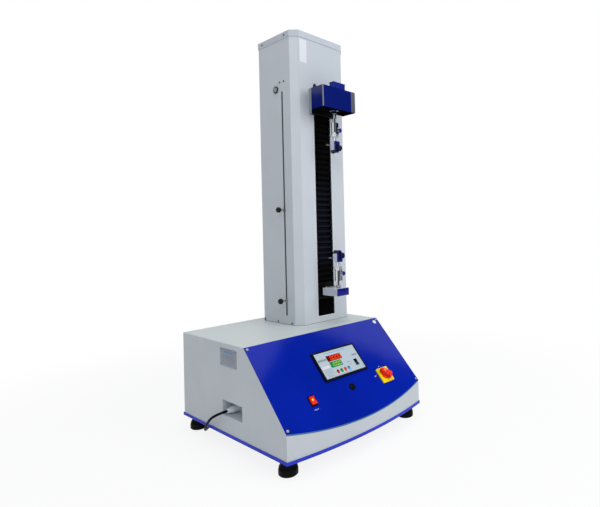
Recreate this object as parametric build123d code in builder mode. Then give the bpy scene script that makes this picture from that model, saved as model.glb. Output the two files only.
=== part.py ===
from build123d import *
from math import atan2, cos, degrees, hypot, pi, radians, sin, sqrt, tan
import os

os.makedirs("parts", exist_ok=True)

# A bench tensile and peel tester. Millimetres, +Z up, origin on the floor under the middle of the cabinet.

# Cabinet: a folded sheet box with a bowed front and a sloping control panel
cabinet_width = 530.0
cabinet_depth = 515.0
cabinet_height = 248.0
front_bow = 26.0
fascia_height = 66.0
slope_run = 176.0
sheet = 2.0
bend_radius = 2.5
plate_rim = 2.0
plate_thick = 8.0
foot_height = 40.0
panel_thick = 2.0
overrun = 10.0

# Levelling feet
foot_inset = 29.0
foot_inset_deep = 34.5
foot_radius = 25.0
foot_pad_height = 20.0
foot_neck_radius = 17.0
foot_neck_height = 33.0
foot_stud_radius = 5.0
foot_stud_clearance = 0.3
foot_stud_above = 12.0
foot_nut_radius = 9.5
foot_nut_height = 7.0

# Cord recess in the left wall
recess_width = 98.0
recess_height = 42.0
recess_depth = 40.0
recess_back = 276.0
recess_low = 47.0
gland_back = 244.5
gland_up = 59.0
gland_nut_radius = 11.0
gland_nut_height = 7.0
gland_body_radius = 9.5
gland_body_length = 12.0
gland_tip_radius = 5.5
gland_length = 37.0
gland_thread_radius = 7.5
gland_lock_thick = 5.0

# Rear service cover with louvres
rear_opening_width = 430.0
rear_opening_height = 176.0
rear_opening_low = 36.0
rear_lap = 14.0
rear_plate = 1.5
louvre_length = 62.0
louvre_height = 4.0
louvre_distance = 14.0
louvre_rows = 7
louvre_spread = 250.0
louvre_hood = 2.0

# Column: folded cover with chamfered front corners, a tall front slot and a narrow side slot
column_width = 236.0
column_depth = 191.0
column_x = 125.0
column_back_gap = 49.0
column_height = 969.0
column_chamfer = 22.0
column_return = 14.0
cap_height = 21.0
cap_sheet = 1.6
cap_gap = 0.1
front_slot_width = 74.0
front_slot_low = 21.0
front_slot_drop = 257.0
side_slot_width = 5.0
side_slot_low = 30.0
side_slot_drop = 195.0
side_slot_inset = 65.0
fit_gap = 0.3

# Drive: plate and pillars in the cabinet, bearing blocks, guide rods, ball screw, belt and motor
drive_thick = 10.0
drive_margin = 28.0
drive_depth = 186.0
pillar_radius = 9.0
pillar_inset = 15.0
flange_thick = 12.0
spine_width = 130.0
spine_thick = 12.0
spine_drop = 69.0
spine_back_gap = 8.0
screw_radius = 8.0
screw_below = 64.0
screw_back = 99.5
rod_radius = 10.0
rod_distance = 90.0
lower_block_height = 20.0
lower_block_depth = 50.0
upper_block_height = 36.0
upper_block_drop = 235.0
upper_block_width = 126.0
running_gap = 0.05
screw_clear_radius = 15.0
motor_size = 86.0
motor_length = 100.0
motor_corner = 8.0
motor_pilot_radius = 36.0
motor_pilot_height = 2.0
motor_setback = 229.5
shelf_thick = 8.0
shelf_drop = 64.0
shelf_reach = 62.0
motor_shaft_radius = 7.0
pulley_width = 24.0
pulley_flange = 2.5
pulley_flange_lip = 2.5
pulley_lift = 10.0
screw_pulley_radius = 30.0
motor_pulley_radius = 20.0
belt_thick = 2.0
belt_width = 15.0
belt_gap = 0.3
supply_width = 215.0
supply_depth = 115.0
supply_height = 50.0
supply_back = 45.0

# Carriage, arm and bellows
carriage_width = 136.0
carriage_depth = 48.0
carriage_low = 78.0
carriage_height = 64.0
bush_radius = 16.0
bush_length = 56.0
nut_radius = 14.0
nut_flange_radius = 21.0
nut_flange_thick = 10.0
neck_width = 40.0
neck_height = 40.0
neck_low = 84.0
arm_width = 53.0
arm_height = 24.0
arm_length = 68.5
arm_front = 81.5
arm_low = 92.0
arm_cap_thick = 2.5
bellows_width = 84.0
bellows_depth = 14.0
bellows_setback = 0.3
bellows_sheet = 1.0
bellows_pitch = 18.0
bellows_folded_pitch = 4.0
curtain_plate_thick = 6.0
curtain_plate_margin = 8.0
trip_width = 22.0
trip_depth = 12.0
trip_height = 20.0
trip_gap = 1.5

# Travel limits: rod, two sliding stops with knobs through the side slot, and a cam lock
limit_rod_radius = 4.0
limit_rod_inset = 15.0
limit_bracket_width = 42.0
limit_bracket_height = 20.0
limit_bracket_drop = 172.0
stop_radius = 10.0
stop_height = 16.0
stop_stem_radius = 2.2
stop_knob_radius = 9.0
stop_knob_length = 15.0
stop_knob_reach = 16.5
stop_washer_radius = 6.0
stop_washer_thick = 1.5
upper_stop_up = 379.0
lower_stop_up = 79.0
lock_drop = 183.0
lock_inset = 96.0
lock_face_radius = 12.0
lock_face_thick = 4.0
lock_barrel_radius = 8.0
lock_barrel_length = 19.0
lock_cam_length = 30.0
lock_cam_width = 10.0
lock_cam_thick = 3.0
lock_key_width = 1.8
lock_key_length = 8.0
lock_key_depth = 2.0

# Load cell head
head_plate_width = 114.0
head_plate_height = 85.0
head_plate_thick = 12.0
head_plate_drop = 272.0
head_spacer_width = 70.0
head_spacer_height = 60.0
head_spacer_length = 18.0
head_spacer_drop = 258.0
housing_width = 146.0
housing_depth = 57.5
housing_height = 70.0
housing_drop = 264.0
housing_sheet = 2.0
housing_corner = 1.5
cell_width = 50.0
cell_thick = 25.0
cell_height = 45.0
cell_low = 14.0
cell_slot = 3.0
cell_bridge = 10.0
junction_width = 53.0
junction_depth = 20.0
junction_height = 24.0
junction_right = 12.5
junction_setback = 12.0
junction_lid = 2.0
cell_stud_hole_clearance = 3.0

# Grips: one on the load cell and one turned over on the arm
grip_reach = 60.0
upper_shank = 39.5
lower_shank = 24.0
shank_radius = 4.5
shank_inside = 14.0
shank_nut_radius = 8.0
shank_nut_height = 9.0
sleeve_radius = 11.0
sleeve_length = 39.5
sleeve_flat = 9.5
sleeve_groove_width = 7.0
sleeve_groove_depth = 4.0
ring_radius = 15.0
ring_height = 9.0
ring_notches = 24
ring_notch_radius = 0.9
spigot_radius = 4.0
spigot_length = 24.0
neck_radius = 6.5
neck_length = 13.5
neck_hole_radius = 2.5
block_width = 24.0
block_depth = 19.0
block_length = 39.5
block_straight = 28.0
block_tip_half = 4.8
cavity_left = 5.0
cavity_right = 6.5
cavity_base = 8.0
jaw_gap_half = 2.5
jaw_base = 10.0
jaw_length = 24.0
jaw_thick = 3.5
jaw_side_gap = 0.5
fixed_jaw_end = 5.0
tooth_distance = 4.0
tooth_radius = 0.5
plate_skin = 2.0
plate_margin = 0.4
window_half = 3.6
window_low = 8.0
window_high = 31.0
pin_radius = 1.6
pin_up = 15.0
pin_reach = 38.0
pin_knob_radius = 2.4
pin_knob_length = 5.0
clamp_up = 20.0
clamp_screw_radius = 3.0
clamp_knob_radius = 10.0
clamp_knob_length = 8.0
clamp_knob_start = 17.0
clamp_knob_lobes = 8
clamp_lobe_radius = 2.0
plunger_up = 22.0
plunger_stem_radius = 2.0
plunger_seat = 5.0
boss_radius = 4.5
boss_end = 19.0
plunger_knob_radius = 7.25
plunger_knob_start = 22.0
plunger_knob_length = 6.0
side_plate_thick = 4.0
side_plate_width = 14.0
side_plate_near = 14.5
side_plate_gap = 14.0
side_plate_far = 10.5

# Control panel, placed from its left edge and up its slope
display_width = 169.0
display_height = 93.0
display_across = 270.5
display_up = 136.5
display_bezel = 7.0
display_frame = 5.0
display_recess = 1.5
display_body_depth = 40.0
display_body_inset = 5.0
key_left = 27.0
key_distance = 14.8
key_drop = 26.5
key_radius = 3.4
key_rise = 2.6
key_depth = 5.0
key_gap = 0.2
rocker_right = 56.0
rocker_drop = 16.5
rocker_width = 12.0
rocker_length = 21.0
rocker_rise = 2.5
power_across = 116.5
power_up = 55.5
power_width = 22.5
power_length = 29.5
power_lip = 2.0
power_frame = 2.6
power_body_depth = 24.0
power_rise = 4.0
rocker_tilt = 8.0
pivot_radius = 1.5
pivot_drop = 4.0
start_across = 264.5
start_up = 54.0
start_radius = 10.0
start_ring = 2.2
start_lip = 2.5
start_body_depth = 28.0
start_cap_rise = 1.2
start_cap_depth = 14.0
switch_across = 407.5
switch_up = 53.5
switch_plate_width = 48.0
switch_plate_thick = 4.0
switch_plate_corner = 2.5
switch_body_radius = 18.0
switch_body_depth = 42.0
switch_shaft_radius = 5.0
switch_knob_radius = 18.0
switch_knob_base = 8.0
switch_grip_width = 13.0
switch_grip_height = 15.0
switch_grip_length = 37.0
switch_grip_taper = 6.0
switch_knob_gap = 0.5

# Screws
screw_head_radius = 3.4
screw_head_height = 2.0
screw_shank_radius = 1.6
screw_hole_radius = 1.9
screw_length = 7.0
panel_screw_inset = 7.0

# Power cord, coil and plug
cord_radius = 3.5
cord_floor = 0.1
coil_x = -128.5
coil_y = 335.0
coil_mean_radius = 42.0
coil_wide = 14.0
coil_high = 21.0
coil_round = 5.0
plug_width = 40.0
plug_length = 44.0
plug_thick = 24.0
plug_tail_length = 20.0
plug_tail_radius = 6.0
plug_pin_radius = 2.6
plug_pin_length = 18.0
plug_pin_distance = 19.0
plug_earth_radius = 3.5
plug_earth_length = 22.0
plug_earth_rise = 5.0
plug_round = 4.0

# Places worked out from the sizes above
front_corner_y = front_bow - (cabinet_depth + front_bow) / 2
rear_y = front_corner_y + cabinet_depth
left_x = -cabinet_width / 2
plate_top = foot_height + plate_thick
cabinet_top = plate_top + cabinet_height
panel_low = plate_top + fascia_height
slope_rise = cabinet_height - fascia_height
slope_length = hypot(slope_run, slope_rise)
panel_plane = Plane(origin=(left_x, front_corner_y, panel_low), x_dir=(1, 0, 0),
                    z_dir=(0, -slope_rise, slope_run))
column_right = column_x + column_width / 2
column_side = column_x - column_width / 2
column_rear = rear_y - column_back_gap
column_front = column_rear - column_depth
column_top = cabinet_top + column_height
front_slot_high = column_height - front_slot_drop
side_slot_high = column_height - side_slot_drop
upper_block_low = column_height - upper_block_drop
limit_bracket_low = column_height - limit_bracket_drop
lock_up = column_height - lock_drop
head_plate_low = column_height - head_plate_drop
head_spacer_low = column_height - head_spacer_drop
housing_low = column_height - housing_drop
spine_height = column_height - spine_drop
drive_width = 2 * (cabinet_width / 2 - sheet - drive_margin - column_x)
inner_front = column_front + sheet
screw_y = column_front + screw_back
axis_y = column_front - grip_reach
arm_top = cabinet_top + arm_low + arm_height
housing_bottom = cabinet_top + housing_low
housing_back = column_front - head_plate_thick - head_spacer_length
housing_front = housing_back - housing_depth
limit_y = column_front + side_slot_inset
limit_x = column_side + sheet + limit_rod_inset


def finish(piece, name):
    """Labels a finished piece and writes it."""
    piece.part.label = name
    export_step(piece.part, f"parts/{name}.step")


def bowed_outline(grow):
    """The cabinet's plan, grown all round, with its curved front."""
    half = cabinet_width / 2 + grow
    front = front_corner_y - grow
    with BuildSketch() as outline:
        with BuildLine():
            Polyline((-half, front), (-half, rear_y + grow), (half, rear_y + grow), (half, front))
            ThreePointArc((-half, front), (0, front - front_bow), (half, front))
        make_face()
    return outline.sketch


def cabinet_body(grow, height, slope):
    """A solid of the cabinet's plan, cut off along the slope."""
    with BuildPart() as body:
        with BuildSketch(Plane.XY.offset(plate_top)):
            add(bowed_outline(grow))
        extrude(amount=height)
        split(bisect_by=slope, keep=Keep.BOTTOM)
    return body.part


def column_outline(grow, rear_cut=0):
    """The column's plan with its two chamfered front corners."""
    leg = column_chamfer + grow * (2 - sqrt(2))
    left, right = column_side - grow, column_right + grow
    front, rear = column_front - grow, column_rear + grow - rear_cut
    with BuildSketch() as outline:
        with BuildLine():
            Polyline((left, rear), (left, front + leg), (left + leg, front), (right - leg, front),
                     (right, front + leg), (right, rear), close=True)
        make_face()
    return outline.sketch


def side_plane(out=0):
    """The column's left face, x along +Y and y along +Z, its normal pointing into the column."""
    return Plane(origin=(column_side - out, 0, 0), x_dir=(0, 1, 0), z_dir=(1, 0, 0))


def front_plane(y):
    """An upright plane at a given depth, x along +X and y along +Z, its normal towards the front."""
    return Plane(origin=(0, y, 0), x_dir=(1, 0, 0), z_dir=(0, -1, 0))


def panel_cutouts():
    """Openings in the control panel and in the sheet behind it."""
    with Locations((display_across, display_up)):
        Rectangle(display_width - 2 * display_body_inset, display_height - 2 * display_body_inset)
    with Locations((power_across, power_up)):
        Rectangle(power_width - 2 * power_lip, power_length - 2 * power_lip)
    with Locations((start_across, start_up)):
        Circle(start_radius - start_ring)
    with Locations((switch_across, switch_up)):
        Circle(switch_body_radius)


foot_places = [(sx * (cabinet_width / 2 - foot_inset), y) for sx in (-1, 1)
               for y in (front_corner_y + foot_inset_deep, rear_y - foot_inset_deep)]
pillar_out = drive_width / 2 - pillar_inset
pillar_back = drive_depth / 2 - pillar_inset
pillar_places = [(column_x + sx * pillar_out, screw_y + sy * pillar_back) for sx in (-1, 1) for sy in (-1, 1)]
panel_screw_places = [(x, y) for x in (panel_screw_inset, cabinet_width - panel_screw_inset)
                      for y in (panel_screw_inset, slope_length - panel_screw_inset)]
bottom_screw_shares = (0.05, 0.41, 0.8)
bottom_screw_places = [(column_rear - column_depth * share, cabinet_top + flange_thick / 2)
                       for share in bottom_screw_shares]
cap_screw_shares = (0.12, 0.76)
cap_screw_places = [(column_rear - column_depth * share, column_top - cap_height / 2)
                    for share in cap_screw_shares]
limit_screw_z = cabinet_top + limit_bracket_low + limit_bracket_height / 2
limit_screw_places = [(limit_y + side * limit_bracket_width / 4, limit_screw_z) for side in (-1, 1)]
rear_cover_width = rear_opening_width + 2 * rear_lap
rear_cover_height = rear_opening_height + 2 * rear_lap
rear_middle_z = plate_top + rear_opening_low + rear_opening_height / 2
rear_screw_out = (rear_cover_width - rear_lap) / 2
rear_screw_up = (rear_cover_height - rear_lap) / 2
rear_screw_places = [(sx * rear_screw_out, rear_middle_z + sy * rear_screw_up)
                     for sx in (-1, 0, 1) for sy in (-1, 1)]
back_screw_shares = (0.06, 0.35, 0.64, 0.93)
back_screw_out = column_width / 2 - sheet - column_return / 2
back_screw_places = [(column_x + sx * back_screw_out, cabinet_top + column_height * share)
                     for sx in (-1, 1) for share in back_screw_shares]

# Base plate
with BuildPart() as base_plate:
    with BuildSketch(Plane.XY.offset(foot_height)):
        add(bowed_outline(plate_rim))
        with Locations(*foot_places):
            Circle(foot_stud_radius + foot_stud_clearance, mode=Mode.SUBTRACT)
    extrude(amount=plate_thick)
finish(base_plate, "base_plate")

# Levelling feet: pad, neck, stud and lock nut
with BuildPart() as feet:
    with Locations(*[(x, y, 0) for x, y in foot_places]):
        Cylinder(foot_radius, foot_pad_height, align=(Align.CENTER, Align.CENTER, Align.MIN))
    chamfer(feet.edges().group_by(Axis.Z)[0], foot_pad_height / 8)
    fillet(feet.edges().group_by(Axis.Z)[-1], foot_pad_height / 3)
    with Locations(*[(x, y, foot_pad_height) for x, y in foot_places]):
        Cone(foot_neck_radius + foot_pad_height / 3, foot_neck_radius, foot_neck_height - foot_pad_height,
             align=(Align.CENTER, Align.CENTER, Align.MIN))
    with Locations(*[(x, y, foot_neck_height) for x, y in foot_places]):
        Cylinder(foot_stud_radius, foot_height + plate_thick + foot_stud_above - foot_neck_height,
                 align=(Align.CENTER, Align.CENTER, Align.MIN))
    with BuildSketch(Plane.XY.offset(foot_height - foot_nut_height)):
        with Locations(*foot_places):
            RegularPolygon(foot_nut_radius, 6)
    extrude(amount=foot_nut_height)
finish(feet, "feet")

# Cabinet shell with its cord recess
seat_plane = panel_plane.offset(-panel_thick)
recess_y = rear_y - recess_back
recess_z = plate_top + recess_low + recess_height / 2
left_wall = Plane(origin=(left_x, 0, 0), x_dir=(0, 1, 0), z_dir=(1, 0, 0))
cavity = cabinet_body(-sheet, cabinet_height - sheet, panel_plane.offset(-panel_thick - sheet))
with BuildPart() as cabinet_shell:
    add(cabinet_body(0, cabinet_height, seat_plane))
    folded = cabinet_shell.edges().filter_by(Axis.Z).group_by(Axis.Y)[-1]
    folded += cabinet_shell.edges().filter_by(Axis.Y).group_by(Axis.Z)[-1]
    fillet(folded, bend_radius)
    add(cavity, mode=Mode.SUBTRACT)
    with BuildSketch(left_wall.offset(sheet)):
        with Locations((recess_y, recess_z)):
            Rectangle(recess_width + 2 * sheet, recess_height + 2 * sheet)
    extrude(amount=recess_depth)
    with BuildSketch(left_wall):
        with Locations((recess_y, recess_z)):
            Rectangle(recess_width, recess_height)
    extrude(amount=recess_depth, mode=Mode.SUBTRACT)
    with BuildSketch(left_wall):
        with Locations((rear_y - gland_back, plate_top + gland_up)):
            Circle(gland_thread_radius)
    extrude(amount=recess_depth + sheet, mode=Mode.SUBTRACT)
    with BuildSketch(panel_plane):
        panel_cutouts()
    extrude(amount=-panel_thick - sheet - overrun, mode=Mode.SUBTRACT)
    with BuildSketch(front_plane(rear_y)):
        with Locations((0, plate_top + rear_opening_low + rear_opening_height / 2)):
            Rectangle(rear_opening_width, rear_opening_height)
    extrude(amount=2 * sheet, mode=Mode.SUBTRACT)
    with BuildSketch(Plane.XY.offset(cabinet_top)):
        with Locations((column_x, screw_y)):
            Circle(screw_clear_radius)
    extrude(amount=-2 * sheet, mode=Mode.SUBTRACT)
    with BuildSketch(front_plane(rear_y)):
        with Locations(*rear_screw_places):
            Circle(screw_hole_radius)
    extrude(amount=2 * sheet, mode=Mode.SUBTRACT)
    with BuildSketch(panel_plane):
        with Locations(*panel_screw_places):
            Circle(screw_hole_radius)
    extrude(amount=-panel_thick - 2 * sheet, mode=Mode.SUBTRACT)
finish(cabinet_shell, "cabinet_shell")

# Control panel: the blue plate on the slope
with BuildPart() as control_panel:
    add(cabinet_body(0, cabinet_height, panel_plane))
    split(bisect_by=seat_plane, keep=Keep.TOP)
    with BuildSketch(panel_plane):
        panel_cutouts()
        with Locations(*panel_screw_places):
            Circle(screw_hole_radius)
    extrude(amount=-panel_thick - sheet, mode=Mode.SUBTRACT)
finish(control_panel, "control_panel")

# Rear service cover, lapped over the opening, with two columns of louvres
louvre_places = [(sx * louvre_spread / 2, rear_middle_z + (row - (louvre_rows - 1) / 2) * louvre_distance)
                 for sx in (-1, 1) for row in range(louvre_rows)]
with BuildPart() as rear_cover:
    with BuildSketch(front_plane(rear_y + rear_plate)):
        with Locations((0, plate_top + rear_opening_low + rear_opening_height / 2)):
            Rectangle(rear_cover_width, rear_cover_height)
    extrude(amount=rear_plate)
    with BuildSketch(front_plane(rear_y)):
        with Locations(*louvre_places):
            Rectangle(louvre_length, louvre_height + 2 * rear_plate)
    extrude(amount=louvre_hood)
    with BuildSketch(front_plane(rear_y + rear_plate)):
        with Locations(*louvre_places):
            Rectangle(louvre_length - 2 * rear_plate, louvre_height)
        with Locations(*rear_screw_places):
            Circle(screw_hole_radius)
    extrude(amount=2 * rear_plate + louvre_hood, mode=Mode.SUBTRACT)
finish(rear_cover, "rear_cover")

# Column cover: a tall folded channel, open behind, with returns for its rear cover
slot_low = cabinet_top + front_slot_low
slot_high = cabinet_top + front_slot_high
with BuildPart() as column_cover:
    with BuildSketch(Plane.XY.offset(cabinet_top)):
        add(column_outline(0))
    extrude(amount=column_height - cap_sheet)
    with BuildSketch(Plane.XY.offset(cabinet_top)):
        add(column_outline(-sheet, rear_plate))
    extrude(amount=column_height, mode=Mode.SUBTRACT)
    with BuildSketch(Plane.XY.offset(cabinet_top)):
        with Locations((column_x, column_rear)):
            Rectangle(column_width - 2 * sheet, 2 * rear_plate)
            Rectangle(column_width - 2 * sheet - 2 * column_return, 4 * sheet + 2 * rear_plate)
    extrude(amount=column_height, mode=Mode.SUBTRACT)
    with BuildSketch(front_plane(column_front)):
        with Locations((column_x, (slot_low + slot_high) / 2)):
            Rectangle(front_slot_width, slot_high - slot_low)
    extrude(amount=-2 * sheet, mode=Mode.SUBTRACT)
    with BuildSketch(side_plane()):
        with Locations((limit_y, cabinet_top + (side_slot_low + side_slot_high) / 2)):
            SlotOverall(side_slot_high - side_slot_low, side_slot_width, rotation=90)
        with Locations((column_front + lock_inset, cabinet_top + lock_up)):
            Circle(lock_barrel_radius + fit_gap)
        with Locations(*bottom_screw_places, *limit_screw_places, *cap_screw_places):
            Circle(screw_hole_radius)
    extrude(amount=2 * sheet, mode=Mode.SUBTRACT)
    with BuildSketch(side_plane(-column_width)):
        with Locations(*bottom_screw_places, *cap_screw_places):
            Circle(screw_hole_radius)
    extrude(amount=-2 * sheet, mode=Mode.SUBTRACT)
    with BuildSketch(front_plane(column_rear)):
        with Locations(*back_screw_places):
            Circle(screw_hole_radius)
    extrude(amount=rear_plate + 2 * sheet, mode=Mode.SUBTRACT)
finish(column_cover, "column_cover")

# Column rear cover, let in between the side walls
with BuildPart() as column_rear_cover:
    with BuildSketch(front_plane(column_rear)):
        with Locations((column_x, cabinet_top + (column_height - cap_sheet) / 2)):
            Rectangle(column_width - 2 * sheet - 2 * fit_gap, column_height - cap_sheet - 2 * fit_gap)
        with Locations(*back_screw_places):
            Circle(screw_hole_radius, mode=Mode.SUBTRACT)
    extrude(amount=rear_plate)
finish(column_rear_cover, "column_rear_cover")

# Column cap: a shallow folded lid over the cover's top edge
with BuildPart() as column_cap:
    with BuildSketch(Plane.XY.offset(column_top - cap_height)):
        add(column_outline(cap_gap + cap_sheet))
    extrude(amount=cap_height)
    fillet(column_cap.edges().group_by(Axis.Z)[-1], cap_sheet / 2)
    with BuildSketch(Plane.XY.offset(column_top - cap_height)):
        add(column_outline(cap_gap))
    extrude(amount=cap_height - cap_sheet, mode=Mode.SUBTRACT)
    with BuildSketch(side_plane(cap_gap + cap_sheet)):
        with Locations(*cap_screw_places):
            Circle(screw_hole_radius)
    extrude(amount=column_width + 2 * cap_gap + 2 * cap_sheet, mode=Mode.SUBTRACT)
finish(column_cap, "column_cap")

# Drive frame in the cabinet: top plate, four pillars and a shelf for the motor
drive_top = cabinet_top - sheet
shelf_top = drive_top - drive_thick - shelf_drop + shelf_thick
motor_y = front_corner_y + motor_setback
with BuildPart() as drive_frame:
    with BuildSketch(Plane.XY.offset(drive_top - drive_thick)):
        with Locations((column_x, screw_y)):
            Rectangle(drive_width, drive_depth)
            Circle(screw_clear_radius, mode=Mode.SUBTRACT)
    extrude(amount=drive_thick)
    with BuildSketch(Plane.XY.offset(plate_top)):
        with Locations(*pillar_places):
            Circle(pillar_radius)
    extrude(amount=drive_top - drive_thick - plate_top)
    shelf_back = screw_y - drive_depth / 2 + pillar_inset + pillar_radius
    shelf_front = motor_y - shelf_reach
    with BuildSketch(Plane.XY.offset(shelf_top - shelf_thick)):
        with Locations((column_x, (shelf_back + shelf_front) / 2)):
            Rectangle(drive_width - 2 * pillar_inset + 2 * pillar_radius, shelf_back - shelf_front)
        with Locations((column_x, motor_y)):
            Circle(motor_pilot_radius + running_gap, mode=Mode.SUBTRACT)
    extrude(amount=shelf_thick)
finish(drive_frame, "drive_frame")

# Motor hung under the shelf, shaft upwards
pulley_low = shelf_top + pulley_lift
with BuildPart() as motor:
    with BuildSketch(Plane.XY.offset(shelf_top - shelf_thick)):
        with Locations((column_x, motor_y)):
            RectangleRounded(motor_size, motor_size, motor_corner)
    extrude(amount=-motor_length)
    with BuildSketch(Plane.XY.offset(shelf_top - shelf_thick)):
        with Locations((column_x, motor_y)):
            Circle(motor_pilot_radius)
    extrude(amount=motor_pilot_height)
finish(motor, "motor")


def pulley(radius, bore, x, y):
    """A flanged belt pulley on an upright axis."""
    lip = radius + pulley_flange_lip
    with BuildPart() as wheel:
        for low, size, height in ((0, lip, pulley_flange),
                                  (pulley_flange, radius, pulley_width - 2 * pulley_flange),
                                  (pulley_width - pulley_flange, lip, pulley_flange)):
            with BuildSketch(Plane.XY.offset(pulley_low + low)):
                with Locations((x, y)):
                    Circle(size)
                    Circle(bore, mode=Mode.SUBTRACT)
            extrude(amount=height)
    return wheel


# Motor pulley with the motor's shaft, ball screw with its pulley, and the belt between them
with BuildPart() as motor_pulley:
    add(pulley(motor_pulley_radius, motor_shaft_radius, column_x, motor_y).part)
    with BuildSketch(Plane.XY.offset(shelf_top - shelf_thick + motor_pilot_height)):
        with Locations((column_x, motor_y)):
            Circle(motor_shaft_radius)
    extrude(amount=pulley_lift + pulley_width + shelf_thick - motor_pilot_height)
finish(motor_pulley, "motor_pulley")

block_low = cabinet_top + flange_thick
upper_low = cabinet_top + upper_block_low
upper_high = upper_low + upper_block_height
with BuildPart() as ball_screw:
    add(pulley(screw_pulley_radius, screw_radius, column_x, screw_y).part)
    with BuildSketch(Plane.XY.offset(cabinet_top - screw_below)):
        with Locations((column_x, screw_y)):
            Circle(screw_radius)
    extrude(amount=upper_high - cabinet_top + screw_below)
finish(ball_screw, "ball_screw")

belt_low = pulley_low + (pulley_width - belt_width) / 2
with BuildPart() as timing_belt:
    for grow, mode in ((belt_gap + belt_thick, Mode.ADD), (belt_gap, Mode.SUBTRACT)):
        with BuildSketch(Plane.XY.offset(belt_low)):
            with Locations((column_x, screw_y)):
                Circle(screw_pulley_radius + grow)
            with Locations((column_x, motor_y)):
                Circle(motor_pulley_radius + grow)
            make_hull()
        extrude(amount=belt_width, mode=mode)
finish(timing_belt, "timing_belt")

# Power supply on the base plate
with BuildPart() as power_supply:
    with Locations((column_side - supply_width / 2, rear_y - supply_back - supply_depth / 2, plate_top)):
        Box(supply_width, supply_depth, supply_height, align=(Align.CENTER, Align.CENTER, Align.MIN))
    fillet(power_supply.edges().filter_by(Axis.Z), sheet)
finish(power_supply, "power_supply")

# Column frame: foot flange and spine
with BuildPart() as column_frame:
    flange_rear = column_rear - sheet - rear_plate - fit_gap
    flange_front = column_front + column_chamfer + 2 * sheet
    with BuildSketch(Plane.XY.offset(cabinet_top)):
        with Locations((column_x, (flange_front + flange_rear) / 2)):
            Rectangle(column_width - 2 * sheet - 2 * fit_gap, flange_rear - flange_front)
        with Locations((column_x, screw_y)):
            Circle(screw_clear_radius, mode=Mode.SUBTRACT)
    extrude(amount=flange_thick)
    for start, depth in ((-sheet, screw_length), (sheet - column_width, -screw_length)):
        with BuildSketch(side_plane(start)):
            with Locations(*bottom_screw_places):
                Circle(screw_shank_radius)
        extrude(amount=depth, mode=Mode.SUBTRACT)
    spine_rear = column_rear - spine_back_gap
    with BuildSketch(Plane.XY.offset(cabinet_top)):
        with Locations((column_x, spine_rear - spine_thick / 2)):
            Rectangle(spine_width, spine_thick)
    extrude(amount=spine_height)
finish(column_frame, "column_frame")

rod_places = [(column_x + side * rod_distance / 2, screw_y) for side in (-1, 1)]
spine_front = column_rear - spine_back_gap - spine_thick

# Bearing blocks at both ends of the screw; the upper one also carries the load cell head
with BuildPart() as bearing_blocks:
    lower_front, lower_rear = screw_y - lower_block_depth / 2, screw_y + lower_block_depth / 2
    for low, height, front, rear, width in (
            (block_low, lower_block_height, lower_front, lower_rear, spine_width),
            (upper_low, upper_block_height, inner_front, spine_front, upper_block_width)):
        with BuildSketch(Plane.XY.offset(low)):
            with Locations((column_x, (front + rear) / 2)):
                Rectangle(width, rear - front)
            with Locations((column_x, screw_y)):
                Circle(screw_radius + running_gap, mode=Mode.SUBTRACT)
            with Locations(*rod_places):
                Circle(rod_radius, mode=Mode.SUBTRACT)
        extrude(amount=height)
finish(bearing_blocks, "bearing_blocks")

with BuildPart() as guide_rods:
    with BuildSketch(Plane.XY.offset(block_low)):
        with Locations(*rod_places):
            Circle(rod_radius)
    extrude(amount=upper_high - block_low)
finish(guide_rods, "guide_rods")

# Carriage: block with bushes and nut, neck through the slot, curtain plate and limit trip
carriage_bottom = cabinet_top + carriage_low
neck_bottom = cabinet_top + neck_low
arm_bottom = cabinet_top + arm_low
arm_nose = column_front - arm_front
curtain_front = inner_front + bellows_setback
curtain_low = neck_bottom - curtain_plate_margin
curtain_high = neck_bottom + neck_height + curtain_plate_margin
with BuildPart() as carriage_block:
    with BuildSketch(Plane.XY.offset(carriage_bottom)):
        with Locations((column_x, screw_y)):
            Rectangle(carriage_width, carriage_depth)
    extrude(amount=carriage_height)
    with BuildSketch(front_plane(screw_y)):
        with Locations((column_x, neck_bottom + neck_height / 2)):
            Rectangle(neck_width, neck_height)
    extrude(amount=screw_y - arm_nose - arm_length)
    with BuildSketch(front_plane(curtain_front)):
        with Locations((column_x, (curtain_low + curtain_high) / 2)):
            Rectangle(bellows_width - 2 * bellows_sheet, curtain_high - curtain_low)
    extrude(amount=-curtain_plate_thick)
    with BuildSketch(Plane.XY.offset(carriage_bottom)):
        with Locations((column_x, screw_y)):
            Circle(nut_radius)
        with Locations(*rod_places):
            Circle(bush_radius)
    extrude(amount=carriage_height, mode=Mode.SUBTRACT)
    trip_left = limit_x + stop_radius + trip_gap
    trip_right = column_x - carriage_width / 2
    with BuildSketch(Plane.XY.offset(carriage_bottom + (carriage_height - trip_height) / 2)):
        with Locations(((trip_left + trip_right) / 2, screw_y - carriage_depth / 2 + trip_depth / 2)):
            Rectangle(trip_right - trip_left, trip_depth)
    extrude(amount=trip_height)
finish(carriage_block, "carriage_block")

# Linear bushes and ball nut
with BuildPart() as carriage_bearings:
    with BuildSketch(Plane.XY.offset(carriage_bottom + (carriage_height - bush_length) / 2)):
        with Locations(*rod_places):
            Circle(bush_radius)
            Circle(rod_radius + running_gap, mode=Mode.SUBTRACT)
    extrude(amount=bush_length)
    with BuildSketch(Plane.XY.offset(carriage_bottom)):
        with Locations((column_x, screw_y)):
            Circle(nut_radius)
    extrude(amount=carriage_height)
    with BuildSketch(Plane.XY.offset(carriage_bottom + carriage_height)):
        with Locations((column_x, screw_y)):
            Circle(nut_flange_radius)
    extrude(amount=nut_flange_thick)
    with BuildSketch(Plane.XY.offset(carriage_bottom)):
        with Locations((column_x, screw_y)):
            Circle(screw_radius + running_gap)
    extrude(amount=carriage_height + nut_flange_thick, mode=Mode.SUBTRACT)
finish(carriage_bearings, "carriage_bearings")

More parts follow.
